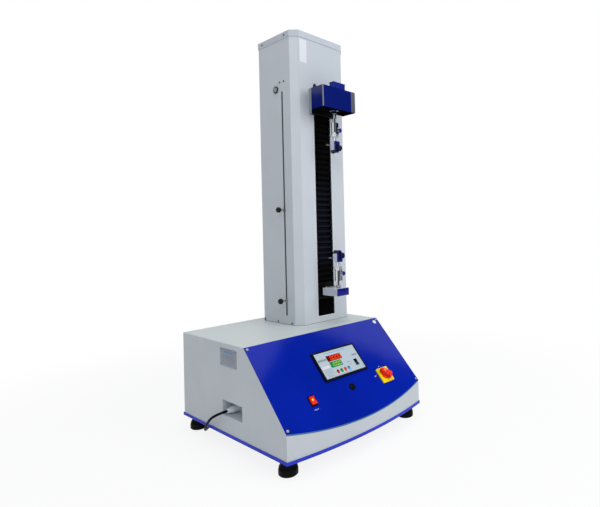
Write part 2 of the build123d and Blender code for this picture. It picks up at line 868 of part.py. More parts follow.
# Arm: a square bar with a plate on its nose and a tapped hole for the lower grip
with BuildPart() as arm_block:
    with BuildSketch(front_plane(arm_nose)):
        with Locations((column_x, arm_bottom + arm_height / 2)):
            Rectangle(arm_width, arm_height)
    extrude(amount=-arm_length)
    chamfer(arm_block.edges().filter_by(Axis.Y), sheet / 4)
    with BuildSketch(Plane.XY.offset(arm_top)):
        with Locations((column_x, axis_y)):
            Circle(shank_radius)
    extrude(amount=-shank_inside, mode=Mode.SUBTRACT)
finish(arm_block, "arm_block")


def bellows(low, high, pitch):
    """A pleated curtain: a folded sheet whose ridges stand towards the front."""
    folds = max(2, round((high - low) / pitch))
    step = (high - low) / folds
    near, far = curtain_front, curtain_front + bellows_depth
    slope = step / 2 / (far - near)
    wall = bellows_sheet * hypot(1, slope)
    ridge = [(far if i % 2 == 0 else near, low + i * step / 2) for i in range(2 * folds + 1)]
    with BuildPart() as curtain:
        with BuildSketch(Plane(origin=(column_x, 0, 0), x_dir=(0, 1, 0), z_dir=(1, 0, 0))):
            with BuildLine():
                Polyline(*ridge, (far + wall, high), *[(y + wall, z) for y, z in reversed(ridge[1:-1])],
                         (far + wall, low), close=True)
            make_face()
        extrude(amount=bellows_width / 2, both=True)
    return curtain


finish(bellows(curtain_high, upper_low, bellows_pitch), "bellows_upper")
finish(bellows(block_low, curtain_low, bellows_folded_pitch), "bellows_lower")

# Limit rod with its top bracket
bracket_low = cabinet_top + limit_bracket_low
with BuildPart() as limit_rod:
    with BuildSketch(Plane.XY.offset(block_low)):
        with Locations((limit_x, limit_y)):
            Circle(limit_rod_radius)
    extrude(amount=bracket_low - block_low)
    with BuildSketch(Plane.XY.offset(bracket_low)):
        with Locations((column_side + sheet + (limit_rod_inset + limit_rod_radius + sheet) / 2, limit_y)):
            Rectangle(limit_rod_inset + limit_rod_radius + sheet, limit_bracket_width)
    extrude(amount=limit_bracket_height)
    with BuildSketch(side_plane(-sheet)):
        with Locations(*limit_screw_places):
            Circle(screw_shank_radius)
    extrude(amount=screw_length, mode=Mode.SUBTRACT)
finish(limit_rod, "limit_rod")

# Limit stops: collar on the rod, stem through the side slot and a round knob outside
for name, up in (("upper_limit_stop", upper_stop_up), ("lower_limit_stop", lower_stop_up)):
    with BuildPart() as stop:
        height = cabinet_top + up
        with BuildSketch(Plane.XY.offset(height - stop_height / 2)):
            with Locations((limit_x, limit_y)):
                Circle(stop_radius)
        extrude(amount=stop_height)
        across = Plane(origin=(column_side, limit_y, height), x_dir=(0, 1, 0), z_dir=(-1, 0, 0))
        with BuildSketch(across.offset(column_side - limit_x)):
            Circle(stop_stem_radius)
        extrude(amount=limit_x - column_side + stop_knob_reach)
        with BuildSketch(across.offset(fit_gap)):
            Circle(stop_washer_radius)
        extrude(amount=stop_washer_thick)
        with BuildSketch(Plane(origin=(column_side, limit_y, height), x_dir=(-1, 0, 0), z_dir=(0, -1, 0))):
            with BuildLine():
                Polyline((stop_knob_reach, 0), (stop_knob_reach, stop_knob_radius / 2),
                         (stop_knob_reach + stop_knob_length / 3, stop_knob_radius),
                         (stop_knob_reach + 2 * stop_knob_length / 3, stop_knob_radius))
                TangentArc((stop_knob_reach + 2 * stop_knob_length / 3, stop_knob_radius),
                           (stop_knob_reach + stop_knob_length, stop_knob_radius / 2), tangent=(1, 0))
                Polyline((stop_knob_reach + stop_knob_length, stop_knob_radius / 2),
                         (stop_knob_reach + stop_knob_length, 0), (stop_knob_reach, 0))
            make_face()
        revolve(axis=Axis((column_side, limit_y, height), (-1, 0, 0)))
        with BuildSketch(Plane.XY.offset(height - stop_height / 2)):
            with Locations((limit_x, limit_y)):
                Circle(limit_rod_radius + running_gap)
        extrude(amount=stop_height, mode=Mode.SUBTRACT)
    finish(stop, name)

# Cam lock: face, barrel, key slot and the cam behind the wall
lock_plane = Plane(origin=(column_side, column_front + lock_inset, cabinet_top + lock_up),
                   x_dir=(0, 1, 0), z_dir=(-1, 0, 0))
with BuildPart() as cam_lock:
    with BuildSketch(lock_plane.offset(running_gap)):
        Circle(lock_face_radius)
    extrude(amount=lock_face_thick)
    fillet(cam_lock.edges().group_by(Axis.X)[0], lock_face_thick / 4)
    with BuildSketch(lock_plane.offset(running_gap)):
        Circle(lock_barrel_radius)
    extrude(amount=-lock_barrel_length)
    with BuildSketch(lock_plane.offset(-lock_barrel_length)):
        with Locations((0, -lock_cam_length / 2 + lock_cam_width / 2)):
            Rectangle(lock_cam_width, lock_cam_length)
    extrude(amount=lock_cam_thick)
    with BuildSketch(lock_plane.offset(running_gap + lock_face_thick)):
        Rectangle(lock_key_width, lock_key_length)
    extrude(amount=-lock_key_depth, mode=Mode.SUBTRACT)
finish(cam_lock, "cam_lock")

# Head mount: plate on the column, spacer and the ledge that holds the load cell
cell_top = housing_bottom + cell_low + cell_height
ledge_top = cabinet_top + head_spacer_low + head_spacer_height
with BuildPart() as head_mount:
    with BuildSketch(front_plane(column_front)):
        with Locations((column_x, cabinet_top + head_plate_low + head_plate_height / 2)):
            Rectangle(head_plate_width, head_plate_height)
    extrude(amount=head_plate_thick)
    chamfer(head_mount.faces().sort_by(Axis.Y)[0].edges(), sheet / 2)
    with BuildSketch(front_plane(column_front - head_plate_thick)):
        with Locations((column_x, ledge_top - head_spacer_height / 2)):
            Rectangle(head_spacer_width, head_spacer_height)
    extrude(amount=head_spacer_length)
    with BuildSketch(front_plane(housing_back)):
        with Locations((column_x, (ledge_top + cell_top) / 2)):
            Rectangle(head_spacer_width, ledge_top - cell_top)
    extrude(amount=housing_back - axis_y + cell_thick / 2)
finish(head_mount, "head_mount")

# Load cell: an S beam with two saw cuts
with BuildPart() as load_cell:
    with BuildSketch(front_plane(axis_y)):
        with Locations((column_x, cell_top - cell_height / 2)):
            Rectangle(cell_width, cell_height)
            with Locations((-cell_bridge / 2, cell_height / 4), (cell_bridge / 2, -cell_height / 4)):
                Rectangle(cell_width - cell_bridge, cell_slot, mode=Mode.SUBTRACT)
    extrude(amount=cell_thick / 2, both=True)
finish(load_cell, "load_cell")

# Load cell housing: a folded box with a hole for the shank below and the spacer's opening behind
with BuildPart() as load_cell_housing:
    with BuildSketch(Plane.XY.offset(housing_bottom)):
        with Locations((column_x, (housing_back + housing_front) / 2)):
            Rectangle(housing_width, housing_depth)
    extrude(amount=housing_height)
    fillet(load_cell_housing.edges().filter_by(Axis.Z), housing_corner)
    with BuildSketch(Plane.XY.offset(housing_bottom + housing_sheet)):
        with Locations((column_x, (housing_back + housing_front) / 2)):
            Rectangle(housing_width - 2 * housing_sheet, housing_depth - 2 * housing_sheet)
    extrude(amount=housing_height - 2 * housing_sheet, mode=Mode.SUBTRACT)
    with BuildSketch(front_plane(housing_back)):
        with Locations((column_x, ledge_top - head_spacer_height / 2)):
            Rectangle(head_spacer_width + 2 * fit_gap, head_spacer_height + 2 * fit_gap)
    extrude(amount=2 * housing_sheet, mode=Mode.SUBTRACT)
    with BuildSketch(Plane.XY.offset(housing_bottom)):
        with Locations((column_x, axis_y)):
            Circle(shank_radius + cell_stud_hole_clearance)
    extrude(amount=2 * housing_sheet, mode=Mode.SUBTRACT)
finish(load_cell_housing, "load_cell_housing")

# Junction box on top of the housing
with BuildPart() as junction_box:
    with BuildSketch(Plane.XY.offset(housing_bottom + housing_height)):
        with Locations((column_x + junction_right, housing_front + junction_setback + junction_depth / 2)):
            Rectangle(junction_width, junction_depth)
    extrude(amount=junction_height)
    fillet(junction_box.edges().filter_by(Axis.Z), housing_corner / 2)
    with BuildSketch(Plane.XY.offset(housing_bottom + housing_height + junction_height - junction_lid)):
        with Locations((column_x + junction_right, housing_front + junction_setback + junction_depth / 2)):
            Rectangle(junction_width + junction_lid, junction_depth + junction_lid)
    extrude(amount=junction_lid)
finish(junction_box, "junction_box")


def facing(base, out=0):
    """A plane through the grip's axis, x across and y along the axis, its normal towards the grip's front."""
    return Plane(origin=base.from_local_coords((0, -out, 0)), x_dir=base.x_dir, z_dir=-base.y_dir)


def across(base, up, out=0):
    """A plane square to the clamp screw's axis at a given height, its normal along +X."""
    return Plane(origin=base.from_local_coords((out, 0, up)), x_dir=base.z_dir, z_dir=base.x_dir)


def grip_outline(low, grow):
    """The grip's front outline: straight sides that close to a blunt tip."""
    half, tip = block_width / 2 + grow, block_tip_half + grow
    with BuildSketch() as outline:
        with BuildLine():
            Polyline((-half, low - grow), (half, low - grow), (half, low + block_straight),
                     (tip, low + block_length + grow), (-tip, low + block_length + grow),
                     (-half, low + block_straight), close=True)
        make_face()
    return outline.sketch


def make_coupling(base, shank, inside):
    """Turned shank, nut, sleeve and ring, with the spigot's bore and the plunger's boss on a flat."""
    end = shank + sleeve_length
    with BuildPart() as coupling:
        with BuildSketch(base.offset(-inside)):
            Circle(shank_radius)
        extrude(amount=inside + shank)
        with BuildSketch(base):
            RegularPolygon(shank_nut_radius, 6)
        extrude(amount=shank_nut_height)
        with BuildSketch(base.offset(shank)):
            Circle(sleeve_radius)
            with Locations((sleeve_flat + sleeve_radius, 0)):
                Rectangle(2 * sleeve_radius, 2 * sleeve_radius, mode=Mode.SUBTRACT)
            with Locations((sleeve_radius / 2, sleeve_radius)):
                Rectangle(sleeve_groove_width, 2 * sleeve_groove_depth, mode=Mode.SUBTRACT)
        extrude(amount=sleeve_length)
        with BuildSketch(across(base, shank + plunger_up, sleeve_flat)):
            Circle(boss_radius)
        extrude(amount=boss_end - sleeve_flat)
        with BuildSketch(base.offset(end)):
            Circle(ring_radius)
            with PolarLocations(ring_radius, ring_notches):
                Circle(ring_notch_radius, mode=Mode.SUBTRACT)
        extrude(amount=ring_height)
        with BuildSketch(base.offset(end + ring_height - spigot_length)):
            Circle(spigot_radius + running_gap)
        extrude(amount=spigot_length, mode=Mode.SUBTRACT)
        with BuildSketch(across(base, shank + plunger_up, plunger_seat)):
            Circle(plunger_stem_radius + running_gap)
        extrude(amount=boss_end - plunger_seat, mode=Mode.SUBTRACT)
    return coupling


def make_coupling_plates(base, shank):
    """Two short plates on the sleeve's flat, above and below the plunger's boss."""
    with BuildPart() as plates:
        for low, length in ((0, side_plate_near), (side_plate_near + side_plate_gap, side_plate_far)):
            with BuildSketch(base.offset(shank + low)):
                with Locations((sleeve_flat + side_plate_thick / 2, 0)):
                    RectangleRounded(side_plate_thick, side_plate_width, side_plate_thick / 4)
            extrude(amount=length)
    return plates


def make_plunger(base, shank):
    """Spring plunger that locks the grip's turn: stem and round knob."""
    with BuildPart() as plunger:
        with BuildSketch(across(base, shank + plunger_up, plunger_seat + running_gap)):
            Circle(plunger_stem_radius)
        extrude(amount=plunger_knob_start - plunger_seat)
        with BuildSketch(across(base, shank + plunger_up, plunger_knob_start)):
            Circle(plunger_knob_radius)
        extrude(amount=plunger_knob_length)
        fillet(plunger.edges().group_by(Axis.X)[-1], plunger_knob_length / 4)
    return plunger


def make_grip_body(base, shank):
    """Neck with its spigot, and the block cut through for the jaws, with the fixed jaw on its left."""
    neck_start = shank + sleeve_length + ring_height
    low = neck_start + neck_length
    with BuildPart() as body:
        with BuildSketch(facing(base)):
            add(grip_outline(low, 0))
        extrude(amount=block_depth / 2, both=True)
        with BuildSketch(facing(base)):
            cavity_top = block_length + overrun
            with Locations(((cavity_right - cavity_left) / 2, low + (cavity_base + cavity_top) / 2)):
                Rectangle(cavity_left + cavity_right, cavity_top - cavity_base)
        extrude(amount=block_depth, both=True, mode=Mode.SUBTRACT)
        fixed_length = block_length - fixed_jaw_end - jaw_base
        with BuildSketch(facing(base)):
            with Locations(((-cavity_left - jaw_gap_half) / 2, low + jaw_base + fixed_length / 2)):
                Rectangle(cavity_left - jaw_gap_half, fixed_length)
            with GridLocations(0, tooth_distance, 1, 3):
                with Locations((-jaw_gap_half, low + jaw_base + 2 * fixed_length / 3)):
                    Circle(tooth_radius, mode=Mode.SUBTRACT)
        extrude(amount=block_depth / 2, both=True)
        with BuildSketch(base.offset(neck_start)):
            Circle(neck_radius)
        extrude(amount=neck_length)
        with BuildSketch(base.offset(neck_start - spigot_length + running_gap)):
            Circle(spigot_radius)
        extrude(amount=spigot_length)
        with BuildSketch(facing(base)):
            with Locations((0, neck_start + neck_length / 2)):
                Circle(neck_hole_radius)
        extrude(amount=block_depth, both=True, mode=Mode.SUBTRACT)
        with BuildSketch(across(base, low + pin_up, -block_width)):
            Circle(pin_radius + running_gap)
        extrude(amount=block_width, mode=Mode.SUBTRACT)
        with BuildSketch(across(base, low + clamp_up, cavity_right)):
            Circle(clamp_screw_radius + running_gap)
        extrude(amount=block_width, mode=Mode.SUBTRACT)
    return body


def make_face_plates(base, shank):
    """The two plates that close the jaw block in front and behind, each with a window."""
    low = shank + sleeve_length + ring_height + neck_length
    window_height = window_high - window_low
    with BuildPart() as plates:
        for start in (block_depth / 2, -block_depth / 2 - plate_skin):
            with BuildSketch(facing(base, start)):
                add(grip_outline(low, -plate_margin))
                with Locations((0, low + window_low + window_height / 2)):
                    RectangleRounded(2 * window_half, window_height, window_half / 2, mode=Mode.SUBTRACT)
            extrude(amount=plate_skin)
    return plates


def make_moving_jaw(base, shank):
    """Moving jaw with the guide pin that slides out through the left cheek."""
    low = shank + sleeve_length + ring_height + neck_length
    with BuildPart() as jaw:
        with BuildSketch(facing(base)):
            with Locations((jaw_gap_half + jaw_thick / 2, low + jaw_base + jaw_length / 2)):
                Rectangle(jaw_thick, jaw_length)
            with GridLocations(0, tooth_distance, 1, 3):
                with Locations((jaw_gap_half, low + jaw_base + 2 * jaw_length / 3)):
                    Circle(tooth_radius, mode=Mode.SUBTRACT)
        extrude(amount=block_depth / 2 - jaw_side_gap, both=True)
        with BuildSketch(across(base, low + pin_up, -pin_reach)):
            Circle(pin_radius)
        extrude(amount=pin_reach + jaw_gap_half + jaw_thick / 2)
        with BuildSketch(across(base, low + pin_up, -pin_reach)):
            Circle(pin_knob_radius)
        extrude(amount=pin_knob_length)
    return jaw


def make_clamp_screw(base, shank):
    """Clamp screw with its lobed hand knob."""
    low = shank + sleeve_length + ring_height + neck_length
    start = jaw_gap_half + jaw_thick + running_gap
    with BuildPart() as screw:
        with BuildSketch(across(base, low + clamp_up, clamp_knob_start)):
            Circle(clamp_knob_radius)
            with PolarLocations(clamp_knob_radius + clamp_lobe_radius / 2, clamp_knob_lobes):
                Circle(clamp_lobe_radius, mode=Mode.SUBTRACT)
        extrude(amount=clamp_knob_length)
        chamfer(screw.faces().sort_by(Axis.X)[-1].edges(), clamp_knob_length / 10)
        with BuildSketch(across(base, low + clamp_up, start)):
            Circle(clamp_screw_radius)
        extrude(amount=clamp_knob_start - start)
    return screw


# Both grips: the upper one hangs turned over from the load cell, the lower one stands on the arm
upper_base = Plane(origin=(column_x, axis_y, housing_bottom), x_dir=(1, 0, 0), z_dir=(0, 0, -1))
lower_base = Plane(origin=(column_x, axis_y, arm_top), x_dir=(1, 0, 0), z_dir=(0, 0, 1))
for side, base, shank, inside in (("upper", upper_base, upper_shank, cell_low),
                                  ("lower", lower_base, lower_shank, shank_inside)):
    finish(make_coupling(base, shank, inside), f"{side}_coupling")
    finish(make_coupling_plates(base, shank), f"{side}_coupling_plates")
    finish(make_plunger(base, shank), f"{side}_plunger")
    finish(make_grip_body(base, shank), f"{side}_grip_body")
    finish(make_face_plates(base, shank), f"{side}_face_plates")
    finish(make_moving_jaw(base, shank), f"{side}_moving_jaw")
    finish(make_clamp_screw(base, shank), f"{side}_clamp_screw")

# Display module: bezel, sunk face and the body behind the panel
display_plane = Plane(origin=panel_plane.from_local_coords((display_across, display_up, 0)),
                      x_dir=panel_plane.x_dir, z_dir=panel_plane.z_dir)
key_places = [(i * key_distance - key_left, -key_drop) for i in range(4)]
rocker_place = (rocker_right, -rocker_drop)
face_height = display_bezel - display_recess
with BuildPart() as display_module:
    with BuildSketch(display_plane):
        Rectangle(display_width, display_height)
    extrude(amount=display_bezel)
    chamfer(display_module.faces().sort_by(Axis(display_plane.origin, display_plane.z_dir))[-1].edges(),
            display_recess / 2)
    with BuildSketch(display_plane.offset(display_bezel)):
        Rectangle(display_width - 2 * display_frame, display_height - 2 * display_frame)
    extrude(amount=-display_recess, mode=Mode.SUBTRACT)
    with BuildSketch(display_plane):
        Rectangle(display_width - 2 * display_body_inset - fit_gap,
                  display_height - 2 * display_body_inset - fit_gap)
    extrude(amount=-display_body_depth)
    with BuildSketch(display_plane.offset(face_height)):
        with Locations(*key_places):
            Circle(key_radius + key_gap)
    extrude(amount=-key_depth - key_gap, mode=Mode.SUBTRACT)
    with BuildSketch(display_plane.offset(face_height)):
        with Locations(rocker_place):
            Rectangle(rocker_width + 2 * key_gap, rocker_length + 2 * key_gap)
    extrude(amount=-2 * pivot_drop, mode=Mode.SUBTRACT)
finish(display_module, "display_module")

# Four keys on the display's face
for name, place in zip(("red_key", "green_key", "orange_key", "blue_key"), key_places):
    with BuildPart() as key:
        with BuildSketch(display_plane.offset(face_height - key_depth + key_gap + key_rise)):
            with Locations(place):
                Circle(key_radius)
        extrude(amount=key_depth - key_gap)
        fillet(key.edges().group_by(Axis(display_plane.origin, display_plane.z_dir))[-1], key_radius / 4)
    finish(key, name)


def make_rocker(plane, width, length, rise, drop):
    """A rocker with its pivot stubs: a shallow V across the top, tapered below."""
    with BuildPart() as rocker:
        with BuildSketch(Plane(origin=plane.origin, x_dir=plane.y_dir, z_dir=plane.x_dir)):
            with BuildLine():
                Polyline((-length / 2, 0), (-length / 2, rise), (0, rise / 3), (length / 2, rise * 2 / 3),
                         (length / 2, 0), (length / 6, -drop), (-length / 6, -drop), close=True)
            make_face()
        extrude(amount=width / 2, both=True)
        with BuildSketch(Plane(origin=plane.origin, x_dir=plane.y_dir, z_dir=plane.x_dir)):
            Circle(rise / 5)
        extrude(amount=(width + key_gap) / 2, both=True)
    return rocker


display_rocker_plane = Plane(origin=display_plane.from_local_coords((*rocker_place, face_height)),
                             x_dir=display_plane.x_dir, z_dir=display_plane.z_dir)
finish(make_rocker(display_rocker_plane, rocker_width, rocker_length - 4 * key_gap, rocker_rise, pivot_drop),
       "display_rocker")

# Bodies of the power rocker and of the round button
power_plane = Plane(origin=panel_plane.from_local_coords((power_across, power_up, power_lip)),
                    x_dir=panel_plane.x_dir, z_dir=panel_plane.z_dir)
start_plane = Plane(origin=panel_plane.from_local_coords((start_across, start_up, 0)),
                    x_dir=panel_plane.x_dir, z_dir=panel_plane.z_dir)
power_inner = power_width - 2 * power_frame
power_inner_length = power_length - 2 * power_frame
with BuildPart() as switch_bodies:
    with BuildSketch(power_plane.offset(-power_lip)):
        Rectangle(power_width, power_length)
    extrude(amount=power_lip)
    with BuildSketch(power_plane.offset(-power_lip)):
        Rectangle(power_width - 2 * power_lip - fit_gap, power_length - 2 * power_lip - fit_gap)
    extrude(amount=-power_body_depth)
    with BuildSketch(power_plane):
        Rectangle(power_inner, power_inner_length)
    extrude(amount=-3 * pivot_drop, mode=Mode.SUBTRACT)
    with BuildSketch(start_plane):
        Circle(start_radius)
    extrude(amount=start_lip)
    with BuildSketch(start_plane):
        Circle(start_radius - start_ring - fit_gap)
    extrude(amount=-start_body_depth)
    with BuildSketch(start_plane.offset(start_lip)):
        Circle(start_radius - 2 * start_ring)
    extrude(amount=-start_cap_depth, mode=Mode.SUBTRACT)
finish(switch_bodies, "switch_bodies")

finish(make_rocker(power_plane, power_inner - 4 * key_gap, power_inner_length - 8 * key_gap,
                   power_rise, 2 * pivot_drop), "power_rocker")

with BuildPart() as start_button:
    with BuildSketch(start_plane.offset(start_lip + start_cap_rise)):
        Circle(start_radius - 2 * start_ring - key_gap)
    extrude(amount=-start_cap_depth + 4 * start_cap_rise)
    fillet(start_button.edges().group_by(Axis(start_plane.origin, start_plane.z_dir))[-1], start_cap_rise / 2)
finish(start_button, "start_button")

# Main switch: square plate with the switch body behind it, and the rotary knob
switch_plane = Plane(origin=panel_plane.from_local_coords((switch_across, switch_up, 0)),
                     x_dir=panel_plane.x_dir, z_dir=panel_plane.z_dir)
with BuildPart() as switch_plate:
    with BuildSketch(switch_plane):
        RectangleRounded(switch_plate_width, switch_plate_width, switch_plate_corner)
    extrude(amount=switch_plate_thick)
    with BuildSketch(switch_plane):
        Circle(switch_body_radius - fit_gap)
    extrude(amount=-switch_body_depth)
    with BuildSketch(switch_plane.offset(switch_plate_thick)):
        Circle(switch_shaft_radius + running_gap)
    extrude(amount=-switch_plate_thick - switch_body_depth / 2, mode=Mode.SUBTRACT)
finish(switch_plate, "switch_plate")

knob_low = switch_plate_thick + switch_knob_gap
with BuildPart() as main_switch_knob:
    with BuildSketch(switch_plane.offset(knob_low)):
        Circle(switch_knob_radius)
    extrude(amount=switch_knob_base, taper=switch_grip_taper)
    with BuildSketch(switch_plane.offset(knob_low + switch_knob_base)):
        SlotOverall(switch_grip_length - switch_grip_taper, switch_grip_width, rotation=90)
    extrude(amount=switch_grip_height, taper=switch_grip_taper)
    with BuildSketch(switch_plane.offset(knob_low)):
        Circle(switch_shaft_radius)
    extrude(amount=-switch_knob_gap - switch_plate_thick - switch_body_depth / 4)
finish(main_switch_knob, "main_switch_knob")

# Screws: domed heads on short shanks, one group
screw_planes = [panel_plane.location * Location((x, y, 0)) for x, y in panel_screw_places]
left_out = cap_gap + cap_sheet
for places, gap in ((bottom_screw_places, 0), (limit_screw_places, 0), (cap_screw_places, left_out)):
    screw_planes += [Plane(origin=(column_side - gap, y, z), z_dir=(-1, 0, 0)).location for y, z in places]
for places, gap in ((bottom_screw_places, 0), (cap_screw_places, left_out)):
    screw_planes += [Plane(origin=(column_right + gap, y, z), z_dir=(1, 0, 0)).location for y, z in places]
screw_planes += [Plane(origin=(x, column_rear, z), z_dir=(0, 1, 0)).location for x, z in back_screw_places]
rear_screw_planes = [Plane(origin=(x, rear_y + rear_plate, z), z_dir=(0, 1, 0)).location
                     for x, z in rear_screw_places]
with BuildPart() as cover_screws:
    for places, head in ((screw_planes, screw_head_height), (rear_screw_planes, plate_rim - rear_plate)):
        with Locations(*places):
            Cylinder(screw_shank_radius, screw_length, align=(Align.CENTER, Align.CENTER, Align.MAX))
            Cylinder(screw_head_radius, head, align=(Align.CENTER, Align.CENTER, Align.MIN))
finish(cover_screws, "cover_screws")

# Cord gland: lock nut and thread behind the recess wall, hexagon and domed nose in front
gland_y = rear_y - gland_back
gland_z = plate_top + gland_up
wall_x = left_x + recess_depth
gland_plane = Plane(origin=(wall_x, gland_y, gland_z), x_dir=(0, 1, 0), z_dir=(-1, 0, 0))
with BuildPart() as cord_gland:
    with BuildSketch(gland_plane.offset(-sheet - gland_lock_thick)):
        Circle(gland_thread_radius)
    extrude(amount=sheet + gland_lock_thick)
    with BuildSketch(gland_plane.offset(-sheet)):
        RegularPolygon(gland_nut_radius, 6)
    extrude(amount=-gland_lock_thick)
    with BuildSketch(gland_plane):
        RegularPolygon(gland_nut_radius, 6)
    extrude(amount=gland_nut_height)
    with BuildSketch(gland_plane.offset(gland_nut_height)):
        Circle(gland_body_radius)
    extrude(amount=gland_body_length)
    with BuildSketch(gland_plane.offset(gland_nut_height + gland_body_length)):
        Circle(gland_body_radius)
    with BuildSketch(gland_plane.offset(gland_length)):
        Circle(gland_tip_radius)
    loft()
finish(cord_gland, "cord_gland")

# Power cord: out of the gland, down the side to the floor, past the rear foot and into its coil
floor_z = cord_radius + cord_floor
cord_route = [
    (wall_x - gland_length, gland_y, gland_z),
    (-274, 26, 107),
    (-285, 30, 104.5),
    (-293.5, 37.5, 100),
    (-298, 48, 93),
    (-298.5, 62, 81),
    (-295, 80, 65),
    (-287, 102, 47.5),
    (-275.5, 125, 34.5),
    (-261, 149, 23),
    (-245.5, 175, 11.5),
    (-229, 199, floor_z),
    (-204, 216.5, floor_z),
    (-196, 245, floor_z),
    (-186, 272, floor_z),
    (coil_x - coil_mean_radius - cord_radius, 297, floor_z),
    (coil_x - coil_mean_radius - cord_radius, 315, floor_z),
]


def route_radii(points):
    """The largest arc that each corner's two runs allow."""
    radii = []
    for before, corner, after in zip(points, points[1:], points[2:]):
        back, ahead = Vector(*before) - Vector(*corner), Vector(*after) - Vector(*corner)
        turn = radians(180 - back.get_angle(ahead))
        radii.append(0.45 * min(back.length, ahead.length) / tan(turn / 2))
    return radii


cord_radii = route_radii(cord_route)
with BuildPart() as power_cord:
    with BuildLine() as cord_path:
        FilletPolyline(*cord_route, radius=cord_radii)
    with BuildSketch(Plane(origin=cord_path.line @ 0, z_dir=cord_path.line % 0)):
        Circle(cord_radius)
    sweep()
finish(power_cord, "power_cord")
print("cord radii", [round(radius, 1) for radius in cord_radii])
cord_length = sum(edge.length for edge in cord_path.edges())
print("cord length", round(cord_length, 1), "volume ratio",
      round(power_cord.part.volume / (pi * cord_radius ** 2 * cord_length), 4))

# Coil behind the machine and the plug beside it
with BuildPart() as cord_coil:
    with BuildSketch(Plane(origin=(coil_x, coil_y, 0), x_dir=(1, 0, 0), z_dir=(0, -1, 0))):
        with Locations((coil_mean_radius, coil_high / 2)):
            RectangleRounded(coil_wide, coil_high, coil_round)
    revolve(axis=Axis((coil_x, coil_y, 0), (0, 0, 1)))
finish(cord_coil, "cord_coil")

plug_y = coil_y + coil_mean_radius + coil_wide / 4
plug_z = plug_thick / 2
plug_start = coil_x + sqrt((coil_mean_radius + coil_wide / 2) ** 2 - (plug_y - coil_y) ** 2)
plug_plane = Plane(origin=(plug_start, plug_y, plug_z), x_dir=(0, 1, 0), z_dir=(1, 0, 0))
with BuildPart() as mains_plug:
    with BuildSketch(plug_plane.offset(plug_tail_length)):
        RectangleRounded(plug_width, plug_thick, plug_round)
    extrude(amount=plug_length)
    fillet(mains_plug.edges().group_by(Axis.X)[0] + mains_plug.edges().group_by(Axis.X)[-1], plug_round / 4)
    with BuildSketch(plug_plane):
        Circle(cord_radius)
    with BuildSketch(plug_plane.offset(plug_tail_length)):
        Circle(plug_tail_radius)
    loft()
    with BuildSketch(plug_plane.offset(plug_tail_length + plug_length)):
        with Locations((-plug_pin_distance / 2, -plug_earth_rise), (plug_pin_distance / 2, -plug_earth_rise)):
            Circle(plug_pin_radius)
    extrude(amount=plug_pin_length)
    with BuildSketch(plug_plane.offset(plug_tail_length + plug_length)):
        with Locations((0, plug_earth_rise)):
            Circle(plug_earth_radius)
    extrude(amount=plug_earth_length)
finish(mains_plug, "mains_plug")
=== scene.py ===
import bpy
from math import copysign, cos, pi, radians, sin
from mathutils import Matrix, Vector


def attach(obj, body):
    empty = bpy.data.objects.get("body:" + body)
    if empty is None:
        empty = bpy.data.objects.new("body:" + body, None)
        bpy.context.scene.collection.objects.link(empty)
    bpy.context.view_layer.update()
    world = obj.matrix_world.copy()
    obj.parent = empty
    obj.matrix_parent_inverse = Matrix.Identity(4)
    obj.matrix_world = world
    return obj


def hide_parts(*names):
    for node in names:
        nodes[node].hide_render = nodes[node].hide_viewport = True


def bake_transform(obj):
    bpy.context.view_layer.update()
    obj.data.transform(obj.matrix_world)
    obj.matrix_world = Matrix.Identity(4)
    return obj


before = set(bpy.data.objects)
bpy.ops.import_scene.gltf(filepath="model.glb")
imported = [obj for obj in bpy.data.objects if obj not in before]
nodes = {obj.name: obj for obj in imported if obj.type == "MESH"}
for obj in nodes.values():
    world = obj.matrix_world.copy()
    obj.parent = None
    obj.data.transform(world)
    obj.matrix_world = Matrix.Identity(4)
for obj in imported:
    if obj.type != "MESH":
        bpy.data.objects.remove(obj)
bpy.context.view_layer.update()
print("frame loaded:", len(nodes), "nodes")

# the camera stands where the photographer stood
viewpoint = {
    "place": (-0.96852, -1.16901, 0.59862),
    "ahead": (0.74174, 0.67054, 0.01424),
    "roll": -1.482,
    "lens": 28.398,
    "shift": (-0.1174, -0.04905),
}


def placeCamera():
    ahead = Vector(viewpoint["ahead"]).normalized()
    right = ahead.cross(Vector((0, 0, 1))).normalized()
    up = right.cross(ahead)
    turn = radians(viewpoint["roll"])
    side = right * cos(turn) + up * sin(turn)
    top = up * cos(turn) - right * sin(turn)
    bpy.ops.object.camera_add()
    camera = bpy.context.object
    camera.name = "camera"
    camera.matrix_world = Matrix.Translation(viewpoint["place"]) @ Matrix((side, top, -ahead)).transposed().to_4x4()
    camera.data.lens = viewpoint["lens"]
    camera.data.sensor_width = 36
    camera.data.sensor_fit = "HORIZONTAL"
    camera.data.shift_x, camera.data.shift_y = viewpoint["shift"]
    camera.data.clip_end = 60
    bpy.context.scene.camera = camera


placeCamera()

